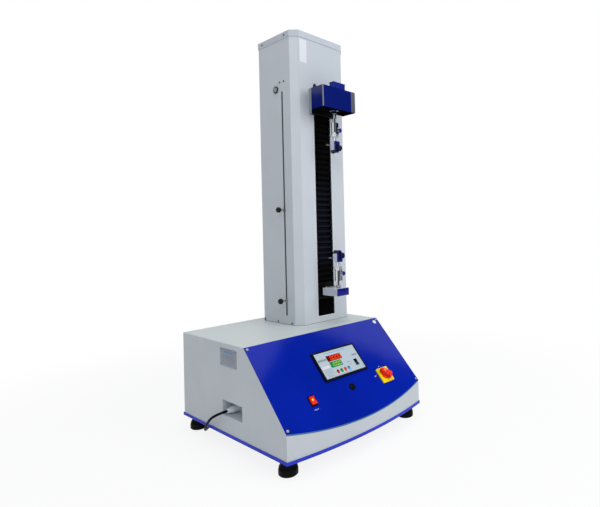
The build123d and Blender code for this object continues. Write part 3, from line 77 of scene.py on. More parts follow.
# mains lead: out of the gland, down to the bench, round the back corner and into a neat coil
lead = {
    "thick": 0.007,
    "length": 1.8,
    "route": [(-0.262, 0.026, 0.107), (-0.274, 0.026, 0.107), (-0.285, 0.030, 0.1045), (-0.2935, 0.0375, 0.100),
              (-0.2978, 0.048, 0.093), (-0.2982, 0.062, 0.081), (-0.295, 0.080, 0.065), (-0.287, 0.102, 0.0475),
              (-0.2755, 0.125, 0.0345), (-0.261, 0.149, 0.023), (-0.2455, 0.175, 0.0115), (-0.229, 0.199, 0.0036),
              (-0.204, 0.2165, 0.0036), (-0.196, 0.245, 0.0036), (-0.186, 0.272, 0.0036), (-0.174, 0.297, 0.0036),
              (-0.174, 0.315, 0.0036)],
    "coilPlace": (-0.1285, 0.335),
    "turns": [(0.0455, 0.0036), (0.0385, 0.0036), (0.0385, 0.0106), (0.0385, 0.0176), (0.0455, 0.0176),
              (0.0455, 0.0106)],
    "pointsPerTurn": 18,
    "firstTurn": 340,
    "nextTurn": 310,
    "crossing": 50,
    "tail": [(-0.1185, 0.3805, 0.0117), (-0.1093, 0.3805, 0.012)],
}


def layLead():
    step = 360 / lead["pointsPerTurn"]
    grow = 1 / (0.75 + 0.25 * cos(radians(step)))  # the spline runs a little inside its points
    ends = [lead["firstTurn"] + lead["nextTurn"] * i for i in range(len(lead["turns"]))]
    points = list(lead["route"])
    gone = 0
    while gone <= ends[-1] + 0.1:
        here = min(i for i, end in enumerate(ends) if gone <= end + 0.1)
        after = min(here + 1, len(ends) - 1)
        part = min(max((gone - ends[here] + lead["crossing"]) / lead["crossing"], 0), 1)
        part = part * part * (3 - 2 * part)
        radius, height = (a + (b - a) * part for a, b in zip(lead["turns"][here], lead["turns"][after]))
        angle = radians(180 - gone)
        points.append((lead["coilPlace"][0] + radius * grow * cos(angle),
                       lead["coilPlace"][1] + radius * grow * sin(angle), height))
        gone += step
    points += lead["tail"]
    curve = bpy.data.curves.new("mains_lead", "CURVE")
    curve.dimensions = "3D"
    spline = curve.splines.new("NURBS")
    spline.points.add(len(points) - 1)
    for point, place in zip(spline.points, points):
        point.co = (*place, 1)
        point.radius = lead["thick"] / 2
    spline.order_u = 3
    spline.use_endpoint_u = True
    spline.resolution_u = 6
    curve.bevel_depth = 1
    curve.bevel_resolution = 4
    curve.use_fill_caps = True
    piece = bpy.data.objects.new("mains_lead", curve)
    bpy.context.scene.collection.objects.link(piece)
    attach(piece, "machine")
    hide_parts("power_cord", "cord_coil")
    return piece


mainsLead = layLead()
print("lead laid")

# pale floor, white backdrop and soft lamps
studio = {
    "ambient": (0.50, 0.50, 0.51, 1),
    "floorColour": (0.90, 0.91, 0.92, 1),
    "floorSize": 24, "floorDrop": 0.0002,
    "floorGlow": {"near": 0.86, "far": 1.0, "from": 0.7, "to": 1.7},
    "lamps": {
        "key": {"place": (1.1, -2.9, 2.0), "aim": (0.1, 0.0, 0.6), "size": 1.8, "power": 38},
        "left": {"place": (-1.6, -1.9, 2.2), "aim": (0.0, 0.0, 0.9), "size": 1.2, "power": 12},
        "over": {"place": (-0.2, -0.4, 3.1), "aim": (0.0, 0.0, 0.3), "size": 1.6, "power": 19},
    },
    # dark cards round the object, seen only in its reflections
    "cards": {
        "right": {"place": (0.40, -1.80, 0.80), "aim": (0.125, -0.03, 0.80), "width": 0.8, "height": 2.2},
        "front": {"place": (1.600, -1.65, 1.45), "aim": (-0.050, -0.40, 0.70), "width": 1.80, "height": 2.6},
        "left": {"place": (-1.50, 1.50, 0.90), "aim": (0.1, 0.0, 0.90), "width": 1.2, "height": 1.58},
    },
    "cardColour": (0.015, 0.015, 0.015, 1),
}
white = (1, 1, 1, 1)


def tone(red, green, blue):
    # screen colour, 0 to 255, as the shader wants it
    steps = [value / 255 for value in (red, green, blue)]
    return (*[step / 12.92 if step <= 0.04045 else ((step + 0.055) / 1.055) ** 2.4 for step in steps], 1)


def freshStart():
    if bpy.context.mode != "OBJECT":
        bpy.ops.object.mode_set(mode="OBJECT")
    bpy.ops.object.select_all(action="DESELECT")


class Wire:  # an output socket that adds, multiplies and compares
    def __init__(self, plan, socket):
        self.plan, self.socket = plan, socket

    def maths(self, operation, *values):
        return self.plan.node("ShaderNodeMath", {"operation": operation}, dict(enumerate(values)))

    def __add__(self, other):
        return self.maths("ADD", self, other)

    def __sub__(self, other):
        return self.maths("SUBTRACT", self, other)

    def __rsub__(self, other):
        return self.maths("SUBTRACT", other, self)

    def __mul__(self, other):
        return self.maths("MULTIPLY", self, other)

    __radd__, __rmul__ = __add__, __mul__

    def __pow__(self, other):
        return self.maths("POWER", self, other)

    def size(self):
        return self.maths("ABSOLUTE", self)

    def sine(self):
        return self.maths("SINE", self)

    def most(self, other):
        return self.maths("MAXIMUM", self, other)

    def rise(self, low, high, bottom=0.0, top=1.0):  # bottom below low, top above high
        sockets = {"Value": self, "From Min": low, "From Max": high, "To Min": bottom, "To Max": top}
        return self.plan.node("ShaderNodeMapRange", {"interpolation_type": "SMOOTHSTEP"}, sockets)

    def fall(self, low, high):  # 1 below low, 0 above high
        return 1 - self.rise(low, high)

    def between(self, low, high):  # 1 from low to high
        soft = 0.0002
        return self.rise(low - soft, low + soft) * self.fall(high - soft, high + soft)


class Plan:  # a node tree, with the one method that adds any node to it
    def __init__(self, tree):
        self.tree = tree
        tree.nodes.clear()

    def node(self, kind, settings=None, sockets=None, outlet=0):
        made = self.tree.nodes.new(kind)
        for key, value in (settings or {}).items():
            setattr(made, key, value)
        for key, value in (sockets or {}).items():
            if isinstance(value, Wire):
                self.tree.links.new(value.socket, made.inputs[key])
            else:
                made.inputs[key].default_value = value
        return Wire(self, made.outputs[outlet]) if made.outputs else None

    def mix(self, share, first, second):
        return self.node("ShaderNodeMix", {"data_type": "RGBA"}, {0: share, 6: first, 7: second}, 2)


class Finish(Plan):  # one material, from its colour to the feel of its surface
    def __init__(self, name, look):
        self.material = bpy.data.materials.new(name)
        self.material.use_nodes = True
        super().__init__(self.material.node_tree)
        self.look = look
        self.normal = self.glow = self.surface = None
        self.place = self.node("ShaderNodeTexCoord", outlet="Object")
        split = self.node("ShaderNodeSeparateXYZ", {}, {0: self.place}).socket.node
        self.x, self.y, self.z = (Wire(self, outlet) for outlet in split.outputs)
        drift = self.noise(look["cloudScale"], 3).rise(0.3, 0.7)
        dark, light = ([value * (1 + look["cloud"] * way) for value in tone(*look["colour"])[:3]] + [1]
                       for way in (-1, 1))
        self.colour = self.mix(drift, dark, light)
        smudge = self.noise(look["smudgeScale"], 4, 0.6, look["stretch"])
        self.rough = (smudge - 0.5) * (2 * look["smudge"]) + look["rough"]
        self.metal = look["metal"]
        if look["grain"]:
            deep, scale = look["grain"]
            self.bump(self.noise(scale, 2, 0.5, look["stretch"]), deep / 1e6)

    def noise(self, scale, detail, rough=0.5, stretch=(1, 1, 1)):
        where = self.node("ShaderNodeMapping", {}, {"Vector": self.place, "Scale": stretch})
        sockets = {"Vector": where, "Scale": scale, "Detail": detail, "Roughness": rough}
        return self.node("ShaderNodeTexNoise", {}, sockets)

    def bump(self, height, distance):
        sockets = {"Height": height, "Distance": distance}
        if self.normal is not None:
            sockets["Normal"] = self.normal
        self.normal = self.node("ShaderNodeBump", {}, sockets)

    def touch(self, mask, colour, share=1.0, metal=None, rough=None, bump=None):  # another look where mask is 1
        self.colour = self.mix(mask * share, self.colour, tone(*colour))
        if metal is not None:
            self.metal = mask * (metal - self.metal) + self.metal
        if rough is not None:
            self.rough = mask * (rough - self.rough) + self.rough
        if bump is not None:
            self.bump(mask, bump)

    def close(self):
        if self.surface is None:
            sockets = {"Base Color": self.colour, "Roughness": self.rough.most(0.03), "Metallic": self.metal}
            if self.look["specular"] is not None:
                sockets["Specular IOR Level"] = self.look["specular"]
            if self.normal is not None:
                sockets["Normal"] = self.normal
            if self.glow is not None:
                sockets["Emission Color"], sockets["Emission Strength"] = self.glow, self.look["glow"]
            self.surface = self.node("ShaderNodeBsdfPrincipled", {}, sockets)
            self.node("ShaderNodeOutputMaterial", {}, {"Surface": self.surface})
        return self.material


def seenDirectly(plan):  # 1 for a ray from the camera, a mirror or glass
    outlets = plan.node("ShaderNodeLightPath").socket.node.outputs
    camera, mirror, glass = (Wire(plan, outlets[f"Is {kind} Ray"]) for kind in ("Camera", "Glossy", "Transmission"))
    return camera.most(mirror).most(glass)


def aimed(thing, axis):
    return (Vector(thing["aim"]) - Vector(thing["place"])).to_track_quat(axis, "Y").to_euler()


def layFloor():
    freshStart()
    bpy.ops.mesh.primitive_plane_add(size=studio["floorSize"], location=(0, 0, -studio["floorDrop"]))
    floor = bpy.context.object
    floor.name = "floor"
    cover = bpy.data.materials.new("floor")
    cover.use_nodes = True
    plan = Plan(cover.node_tree)
    place = plan.node("ShaderNodeTexCoord", outlet="Object")
    away = plan.node("ShaderNodeVectorMath", {"operation": "LENGTH"}, {0: place}, "Value")
    glow = studio["floorGlow"]
    share = seenDirectly(plan) * away.rise(glow["from"], glow["to"], glow["near"], glow["far"])
    matt = plan.node("ShaderNodeBsdfPrincipled", {}, {"Base Color": studio["floorColour"], "Roughness": 0.9,
                                                      "Specular IOR Level": 0.1})
    bright = plan.node("ShaderNodeEmission", {}, {"Color": white})
    both = plan.node("ShaderNodeMixShader", {}, {0: share, 1: matt, 2: bright})
    plan.node("ShaderNodeOutputMaterial", {}, {"Surface": both})
    floor.data.materials.append(cover)


def hangCards():
    dark = bpy.data.materials.new("card")
    dark.use_nodes = True
    surface = dark.node_tree.nodes["Principled BSDF"]
    surface.inputs["Base Color"].default_value = studio["cardColour"]
    surface.inputs["Specular IOR Level"].default_value = 0.0
    for name, card in studio["cards"].items():
        freshStart()
        bpy.ops.mesh.primitive_plane_add(size=1, location=card["place"])
        sheet = bpy.context.object
        sheet.name = "card_" + name
        sheet.scale = (card["width"], card["height"], 1)
        sheet.rotation_euler = aimed(card, "Z")
        sheet.visible_camera = sheet.visible_diffuse = sheet.visible_shadow = sheet.visible_transmission = False
        sheet.data.materials.append(dark)


def buildStudio():
    world = bpy.data.worlds.new("studio")
    bpy.context.scene.world = world
    world.use_nodes = True
    plan = Plan(world.node_tree)
    light = plan.mix(seenDirectly(plan), studio["ambient"], white)
    plan.node("ShaderNodeOutputWorld", {}, {"Surface": plan.node("ShaderNodeBackground", {}, {"Color": light})})
    for name, lamp in studio["lamps"].items():
        bpy.ops.object.light_add(type="AREA", location=lamp["place"])
        light = bpy.context.object
        light.name = name
        light.data.size = lamp["size"]
        light.data.energy = lamp["power"]
        light.rotation_euler = aimed(lamp, "-Z")
    layFloor()
    hangCards()


buildStudio()
bpy.context.scene.view_settings.view_transform = "Standard"
print("studio lit")

# what a look has unless it says otherwise
plain = {"metal": 0.0, "cloud": 0.05, "cloudScale": 9, "smudge": 0.06, "smudgeScale": 30, "stretch": (1, 1, 1),
         "grain": None, "glow": None}


def surface(colour, rough, specular=None, **rest):
    return {**plain, "colour": colour, "rough": rough, "specular": specular, **rest}


# looks of the finishes: screen colour, roughness, gloss, and the grain's depth in micrometres with its scale
looks = {
    "cabinetPaint": surface((193, 200, 206), 0.48, 0.3, cloud=0.02, smudge=0.05, grain=(40, 700)),
    "columnPaint": surface((197, 204, 211), 0.44, 0.3, cloud=0.015, smudge=0.05, grain=(30, 700)),
    "capPaint": surface((186, 194, 204), 0.44, 0.3, cloud=0.02, grain=(30, 700)),
    # pale paint for the strips that paint the highlight on the slot's rim
    "rimHighlightPaint": surface((226, 230, 234), 0.4, 0.3, cloud=0.02, grain=(20, 900)),
    "panelBlue": surface((4, 32, 158), 0.10, 0.26, cloud=0.10, cloudScale=4, smudgeScale=9, grain=(10, 1400)),
    "edgeBlue": surface((44, 60, 194), 0.4, 0.12, grain=(30, 700)),
    "headBlue": surface((10, 26, 108), 0.10, 0.35, cloud=0.06, smudge=0.04, grain=(10, 500)),
    "junctionBlue": surface((20, 40, 136), 0.18, 0.25, grain=(20, 700)),
    "underBlack": surface((9, 9, 11), 0.9, 0.0, cloud=0.2, grain=(40, 600)),
    "mountGrey": surface((150, 158, 158), 0.5, 0.15, cloud=0.06, grain=(40, 600)),
    "stripGrey": surface((86, 94, 104), 0.42, 0.15, cloud=0.08, grain=(30, 600)),
    "edgeTrim": surface((140, 138, 146), 0.45, 0.2, metal=0.4, cloud=0.06, grain=(20, 400)),
    "frameGrey": surface((96, 100, 104), 0.55, 0.2, cloud=0.08, grain=(50, 500)),
    "armAluminium": surface((184, 191, 202), 0.42, 0.2, metal=0.45, cloud=0.04, smudge=0.10, grain=(30, 120),
                            stretch=(6, 0.3, 9)),
    "aluminium": surface((178, 181, 186), 0.36, metal=1.0, smudge=0.12, grain=(20, 220), stretch=(1, 1, 6)),
    "carriageBlack": surface((12, 12, 14), 0.6, 0.08, cloud=0.12, grain=(40, 700)),
    "steel": surface((140, 143, 148), 0.26, metal=1.0, cloud=0.08, smudge=0.12, grain=(10, 300), stretch=(5, 5, 1)),
    "chrome": surface((142, 146, 155), 0.13, metal=1.0, cloudScale=40, grain=(4, 400)),
    "gripSteel": surface((214, 217, 224), 0.24, metal=0.75, cloudScale=50, smudge=0.08, grain=(6, 500)),
    "lockSteel": surface((172, 174, 178), 0.30, metal=0.7, cloud=0.06, cloudScale=80, smudge=0.10, grain=(10, 500)),
    "jawSteel": surface((182, 184, 190), 0.32, metal=0.7, cloud=0.08, cloudScale=60, smudge=0.10, grain=(10, 500)),
    "screwSteel": surface((118, 120, 124), 0.34, metal=0.8, cloud=0.10, cloudScale=120, smudge=0.12),
    "panelScrew": surface((190, 186, 178), 0.38, metal=0.6, cloud=0.08, cloudScale=120, smudge=0.12),
    "motorBlack": surface((24, 25, 28), 0.5, 0.2, cloud=0.1, grain=(50, 500)),
    "gripBlue": surface((14, 22, 122), 0.28, 0.16, cloud=0.08, cloudScale=60, grain=(10, 900)),
    "bellowsBlack": surface((5, 11, 22), 0.44, 0.11, cloud=0.3, cloudScale=25, smudge=0.10, grain=(60, 1500)),
    "blackPlastic": surface((14, 14, 16), 0.42, 0.2, cloud=0.08, cloudScale=60, grain=(30, 1600)),
    "footRubber": surface((6, 6, 7), 0.5, 0.08, cloud=0.12, cloudScale=50, grain=(50, 900)),
    "glossBlack": surface((9, 9, 11), 0.2, 0.25, cloud=0.08, smudge=0.05, grain=(10, 1600)),
    "bezelBlack": surface((7, 7, 9), 0.42, 0.1, cloud=0.08, grain=(20, 1800)),
    "glandNylon": surface((224, 228, 237), 0.5, 0.3, cloud=0.04, cloudScale=80, grain=(20, 1200)),
    "switchYellow": surface((246, 216, 8), 0.38, 0.2, cloud=0.04, cloudScale=40, grain=(20, 1600)),
    "knobRed": surface((238, 44, 12), 0.3, 0.3, cloudScale=40, grain=(10, 1600)),
    "litRed": surface((214, 24, 4), 0.22, 0.3, cloud=0.03, glow=0.3),
    "beltRubber": surface((20, 20, 20), 0.7, 0.15, cloud=0.1, grain=(50, 900)),
    "galvanised": surface((168, 172, 176), 0.38, metal=1.0, cloud=0.12, cloudScale=90, smudge=0.14),
    "leadSheath": surface((6, 6, 8), 0.5, 0.05, cloud=0.08, cloudScale=30, grain=(40, 900)),
    "facePale": surface((178, 194, 203), 0.3, 0.2, cloud=0.02, smudge=0.04, grain=(5, 2000)),
    "labelWhite": surface((216, 220, 228), 0.4, 0.2, cloud=0.015, smudge=0.05, grain=(5, 900)),
    "plateSilver": surface((150, 158, 170), 0.36, 0.2, metal=0.35, smudge=0.1, grain=(10, 300),
                           stretch=(1, 0.1, 3)),
    "windowRed": surface((168, 12, 6), 0.16, 0.1, glow=0.02),
    "windowGreen": surface((18, 128, 74), 0.16, 0.1, glow=0.05),
    "inkWhite": surface((214, 222, 238), 0.4, 0.2),
    "lampRed": surface((235, 60, 80), 0.25, 0.3, glow=0.4),
    "lampBlue": surface((60, 150, 230), 0.25, 0.3, glow=0.3),
}
families = [  # looks that differ only in colour
    ({"rough": 0.34, "specular": 0.2, "cloud": 0.04, "grain": (10, 2000)},
     {"keyRed": (196, 10, 26), "keyGreen": (22, 150, 50), "keyOrange": (232, 78, 16), "keyBlue": (70, 170, 236)}),
    ({"rough": 0.45, "specular": 0.2},
     {"inkDark": (52, 56, 64), "inkGrey": (134, 146, 156), "inkPink": (214, 206, 214), "inkBlue": (120, 168, 222)}),
    ({"rough": 0.3, "specular": 0.2}, {"digitDull": (150, 20, 8), "digitFaint": (20, 110, 46)}),
    ({"rough": 0.3, "glow": 0.2}, {"digitRed": (240, 92, 20), "digitGreen": (186, 226, 40)}),
]
for shared, colours in families:
    looks.update({name: surface(colour, **shared) for name, colour in colours.items()})
# pieces of two materials start as one of them
looks["plungerKnob"] = looks["clampKnob"] = {**looks["chrome"], "specular": 0.04}
looks["stopKnob"], looks["plugBody"] = looks["blackPlastic"], looks["leadSheath"]
finishes = {name: Finish(name, look) for name, look in looks.items()}
keyFinishes = ("keyRed", "keyGreen", "keyOrange", "keyBlue")

# the sloping panel: its lower left corner, how one step up it goes back and rises, and its bowed lower edge
slope = {"start": (-0.265, -0.2445, 0.114), "back": 0.6951, "rise": 0.7188}
bow = {"centre": 1.0930, "rim": (1.3627, 1.3630)}


def onSlope(finish):  # distance up the panel's slope, and height above it
    back, rise = finish.y - slope["start"][1], finish.z - slope["start"][2]
    return back * slope["back"] + rise * slope["rise"], rise * slope["back"] - back * slope["rise"]


def far(first, second):  # distance from where both are 0
    return (first * first + second * second) ** 0.5


def sleeves(finish):  # 1 on the sleeves of both grips
    return finish.z.between(0.4215, 0.4695).most(finish.z.between(0.9285, 0.9765))


def sleeveAcrossView(finish):  # distance from a sleeve's middle, across the camera's line of sight, where its painted reflections lie
    return (finish.x - 0.125) * 0.670 - (finish.y + 0.0295) * 0.742


# where a finish changes over its piece, in metres, and there its colour, share, metal, roughness and bump
touches = {
    "panelRim": ("panelBlue", lambda f: far(f.x, f.y - bow["centre"]).rise(*bow["rim"]), (78, 124, 150), 0.75),
    # painted shade: the column's front face painted darker towards its top, as the light falls off there
    "columnTopShade": ("columnPaint", lambda f: f.z.rise(0.75, 1.20) * f.y.fall(0.031, 0.034), (187, 195, 203), 0.8),
    # painted shade: a dark band along the column's side slot, for the shade inside the slot
    "sideSlotShade": ("columnPaint", lambda f: f.x.fall(0.0080, 0.0084) * f.y.between(0.0919, 0.0993)
                    * f.z.between(0.3250, 1.0710), (58, 60, 64)),
    # painted shade: the bellows painted near-black and rougher just above the arm, all over the lower bellows and high
    # up, where their folds show no highlights
    "bellowsShadeBands": ("bellowsBlack", lambda f: f.z.fall(0.470, 0.520).most(f.z.rise(0.68, 0.80)), (1, 1, 2), 1, None,
                  0.95),
    # painted light: the cabinet's top painted a touch lighter than its sides, for the light from above
    "shellTopLit": ("cabinetPaint", lambda f: f.z.rise(0.2935, 0.2945), (196, 205, 206)),
    "mountUnder": ("mountGrey", lambda f: f.z.fall(1.0085, 1.0090) * f.x.rise(0.0685, 0.0687), (8, 8, 10)),
    "armRim": ("armAluminium", lambda f: (f.z - 0.400).size().rise(0.0098, 0.0106).most(f.y.fall(-0.0500, -0.0488))
               .most(f.y.rise(0.0150, 0.0162)), (222, 224, 230), 0.7),
    "jawTips": ("gripSteel", lambda f: f.z.rise(0.80, 0.81) * f.z.fall(0.8700, 0.8703)
                + f.z.rise(0.5262, 0.5265) * f.z.fall(0.60, 0.61), (16, 16, 20), 1, 0.0, 0.5),
    # painted shade: the face plates painted near-black round each jaw window, so the shaded window reads larger
    "windowRimShade": ("gripBlue", lambda f: (f.x - 0.125).size().fall(0.0062, 0.0066) * f.y.fall(-0.0404, -0.0402)
                    * f.z.between(0.5030, 0.5325).most(f.z.between(0.8650, 0.8945)), (9, 9, 13)),
    # painted shade: the moving jaw painted dark where it shows through the window, for the shade inside
    "jawShadeInWindow": ("jawSteel", lambda f: f.x.rise(0.1140, 0.1145), (44, 46, 54), 1, 0.3),
    "jawPin": ("jawSteel", lambda f: f.x.fall(0.1040, 0.1045), (128, 118, 118)),
    "lockRing": ("lockSteel", lambda f: far(f.y - 0.1265, f.z - 1.0820).rise(0.0074, 0.0078)
                 .most((f.y - 0.1265).size().fall(-0.0001, 0.0014)), (46, 48, 50), 1, 0.2),
    "windowShade": ("windowRed", lambda f: f.x.fall(-0.0250, -0.0235), (104, 4, 4)),
    "plateRows": ("plateSilver", lambda f: ((f.z - 0.2350) * (2 * pi / 0.0052)).sine().rise(0.20, 0.70)
                  * f.z.between(0.2365, 0.2660) * f.y.between(-0.0270, 0.0450),
                  (100, 108, 122), 0.7, None, None, -0.00003),
    "plateHeading": ("plateSilver", lambda f: f.z.between(0.2690, 0.2750) * f.y.between(-0.0140, 0.0330),
                     (112, 146, 196), 0.8),
    "footStud": ("footRubber", lambda f: f.z.rise(0.0335, 0.0340), (150, 152, 156), 1, 1.0, 0.3),
    "knurledRings": ("chrome", lambda f: f.z.between(0.4705, 0.4850).most(f.z.between(0.9125, 0.9270)),
                     (204, 207, 214)),
    # painted reflections: a pale band down one side of each sleeve, and a dark band beside it, both laid across the
    # camera's view
    "sleevePaleReflection": ("chrome", lambda f: sleeves(f) * sleeveAcrossView(f).fall(-0.0016, -0.0010), (206, 210, 212)),
    "sleeveDarkReflection": ("chrome", lambda f: sleeves(f) * sleeveAcrossView(f).between(-0.0010, 0.0036), (54, 56, 64)),
    "plungerKnob": ("plungerKnob", lambda f: f.x.rise(0.1468, 0.1471), (12, 18, 150), 1, 0.0, 0.25),
    "clampKnob": ("clampKnob", lambda f: f.x.rise(0.1418, 0.1421), (8, 8, 10), 1, 0.0, 0.5),
    "stopStem": ("stopKnob", lambda f: f.x.rise(-0.0090, -0.0085), (150, 152, 156), 1, 1.0, 0.3),
    "plugPins": ("plugBody", lambda f: f.x.rise(-0.0503, -0.0500), (200, 190, 150), 1, 1.0, 0.25),
}
# painted shade: the upper half of each key's top painted near-black, for the shade on the key
keyShade = {"up": (0.1088, 0.1100), "out": (0.0062, 0.0064), "colour": (14, 14, 18), "share": 0.95}
rockerLamp = {"across": -0.1485, "up": 0.0575, "fade": (0.0000015, 0.000014), "colour": (255, 220, 60),
              "glow": (255, 214, 40), "around": (190, 20, 4)}
turnedLines = {"perMetre": 5200, "deep": 0.000004}


def detailFinishes():
    for name, where, *look in touches.values():
        finishes[name].touch(where(finishes[name]), *look)
    # painted shade on the upper half of each key's top
    for name in keyFinishes:
        up, out = onSlope(finishes[name])
        mask = up.rise(*keyShade["up"]) * out.rise(*keyShade["out"])
        finishes[name].touch(mask, keyShade["colour"], keyShade["share"])
    grip = finishes["chrome"]
    grip.bump((grip.z * turnedLines["perMetre"]).sine(), turnedLines["deep"])
    for finish in finishes.values():
        finish.glow = finish.colour if finish.look["glow"] else None
    rocker = finishes["litRed"]  # its lamp shows through as a yellow spot
    across, up = rocker.x - rockerLamp["across"], onSlope(rocker)[0] - rockerLamp["up"]
    spot = (across * across + up * up).fall(*rockerLamp["fade"])
    rocker.glow = rocker.mix(spot, tone(*rockerLamp["around"]), tone(*rockerLamp["glow"]))
    rocker.colour = rocker.mix(spot, rocker.colour, tone(*rockerLamp["colour"]))


detailFinishes()

# the CAD nodes that each finish covers
coverings = {
    "cabinetPaint": "cabinet_shell rear_cover",
    "columnPaint": "column_cover column_rear_cover",
    "capPaint": "column_cap",
    "panelBlue": "control_panel",
    "edgeBlue": "base_plate",
    "headBlue": "load_cell_housing",
    "junctionBlue": "junction_box",
    "mountGrey": "head_mount",
    "frameGrey": "column_frame drive_frame",
    "armAluminium": "arm_block",
    "aluminium": "bearing_blocks motor_pulley load_cell",
    "carriageBlack": "carriage_block",
    "galvanised": "power_supply",
    "steel": "ball_screw guide_rods limit_rod carriage_bearings",
    "lockSteel": "cam_lock",
    "chrome": "upper_coupling lower_coupling",
    "gripSteel": "upper_grip_body lower_grip_body",
    "jawSteel": "upper_moving_jaw lower_moving_jaw",
    "screwSteel": "cover_screws",
    "motorBlack": "motor",
    "gripBlue": "upper_face_plates lower_face_plates upper_coupling_plates lower_coupling_plates",
    "bellowsBlack": "bellows_upper bellows_lower",
    "footRubber": "feet",
    "glossBlack": "start_button display_rocker switch_bodies",
    "bezelBlack": "display_module",
    "glandNylon": "cord_gland",
    "switchYellow": "switch_plate",
    "knobRed": "main_switch_knob",
    "litRed": "power_rocker",
    "keyRed": "red_key",
    "keyGreen": "green_key",
    "keyOrange": "orange_key",
    "keyBlue": "blue_key",
    "beltRubber": "timing_belt",
    "plungerKnob": "upper_plunger lower_plunger",
    "clampKnob": "upper_clamp_screw lower_clamp_screw",
    "stopKnob": "upper_limit_stop lower_limit_stop",
    "plugBody": "mains_plug",
}


def dressNodes():
    for finish, names in coverings.items():
        for name in names.split():
            for place in nodes[name].material_slots:
                place.material = finishes[finish].close()
    mainsLead.data.materials.append(finishes["leadSheath"].close())


dressNodes()
print("nodes finished")


# modelling by hand: pick faces or edges by rule, and settle the piece in the row frame
def pickOnly(piece):
    freshStart()
    piece.select_set(True)
    bpy.context.view_layer.objects.active = piece


def justAdded(name, size=(1, 1, 1)):
    piece = bpy.context.object
    piece.name = name
    piece.scale = size
    bpy.ops.object.transform_apply(location=True, rotation=True, scale=True)
    return piece


def addBlock(name, size, centre=(0, 0, 0)):
    freshStart()
    bpy.ops.mesh.primitive_cube_add(size=1, location=centre)
    return justAdded(name, size)


def addBetween(name, low, high):
    low, high = Vector(low), Vector(high)
    return addBlock(name, high - low, (low + high) / 2)


def addRound(name, radius, depth, sides, centre=(0, 0, 0)):
    freshStart()
    bpy.ops.mesh.primitive_cylinder_add(vertices=sides, radius=radius, depth=depth, location=centre)
    return justAdded(name)


def startPicking(piece, kind):
    pickOnly(piece)
    bpy.ops.object.mode_set(mode="EDIT")
    bpy.ops.mesh.select_mode(type=kind)
    bpy.ops.mesh.select_all(action="DESELECT")
    bpy.ops.object.mode_set(mode="OBJECT")


def pickFaces(piece, rule):
    startPicking(piece, "FACE")
    for face in piece.data.polygons:
        face.select = bool(rule(face.center, face.normal))
    bpy.ops.object.mode_set(mode="EDIT")


def pickEdges(piece, rule):
    startPicking(piece, "EDGE")
    for edge in piece.data.edges:
        first, second = (piece.data.vertices[i].co for i in edge.vertices)
        edge.select = bool(rule((first + second) / 2, (second - first).normalized()))
    bpy.ops.object.mode_set(mode="EDIT")


def roundCorners(piece, radius, segments=5):
    pickEdges(piece, lambda middle, along: abs(along.z) > 0.99)
    bpy.ops.mesh.bevel(offset=radius, segments=segments, affect="EDGES")
    freshStart()


def applyAll(piece):
    pickOnly(piece)
    for modifier in list(piece.modifiers):
        bpy.ops.object.modifier_apply(modifier=modifier.name)


def softEdges(piece, width, segments=2, angle=35):
    bevel = piece.modifiers.new("edges", "BEVEL")
    bevel.width = width
    bevel.segments = segments
    bevel.limit_method = "ANGLE"
    bevel.angle_limit = radians(angle)
    applyAll(piece)


def settle(piece, finish, place=None, body="machine", smooth=35):
    if place is not None:
        piece.data.transform(place)
    piece.data.materials.clear()
    piece.data.materials.append(finishes[finish].close())
    pickOnly(piece)
    bpy.ops.object.shade_smooth_by_angle(angle=radians(smooth))
    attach(piece, body)
    return piece


def copyTo(piece, name, place):
    twin = piece.copy()
    twin.data = piece.data.copy()
    twin.name = name
    twin.data.transform(place)
    bpy.context.scene.collection.objects.link(twin)
    return twin


def joined(name, pieces):
    freshStart()
    for piece in pieces:
        piece.select_set(True)
    bpy.context.view_layer.objects.active = pieces[0]
    bpy.ops.object.join()
    pieces[0].name = name
    return pieces[0]


def cutBy(piece, cutter):
    cut = piece.modifiers.new("cut", "BOOLEAN")
    cut.operation = "DIFFERENCE"
    cut.object = cutter
    applyAll(piece)
    bpy.data.objects.remove(cutter)


def panelPlace(across, up, out):
    # millimetres on the sloping panel to the row frame
    back, rise = slope["back"], slope["rise"]
    turn = Matrix(((1, 0, 0), (0, back, -rise), (0, rise, back))).to_4x4()
    offset = turn @ Vector((across / 1000, up / 1000, out / 1000))
    return Matrix.Translation(Vector(slope["start"]) + offset) @ turn


# bellows in the front slot, each pleat a little different
bellows = {
    "left": 0.0834, "right": 0.1666, "front": 0.0331, "back": 0.0472, "axis": (0.125, 0.040),
    "perPleat": 6, "across": 20, "thick": 0.0008, "crest": 0.8, "depthVaries": 0.06,
    "edge": 0.007, "foldBack": 0.85, "sag": 0.0016, "sagVaries": 0.3, "mostSag": 1 / 9,
    "upper": {"top": 1.0297, "bottom": 0.4283, "fixed": "top", "moving": "bottom", "pitch": 0.018},
    "lower": {"top": 0.3717, "bottom": 0.3083, "fixed": "bottom", "moving": "top", "pitch": 0.0042},
}


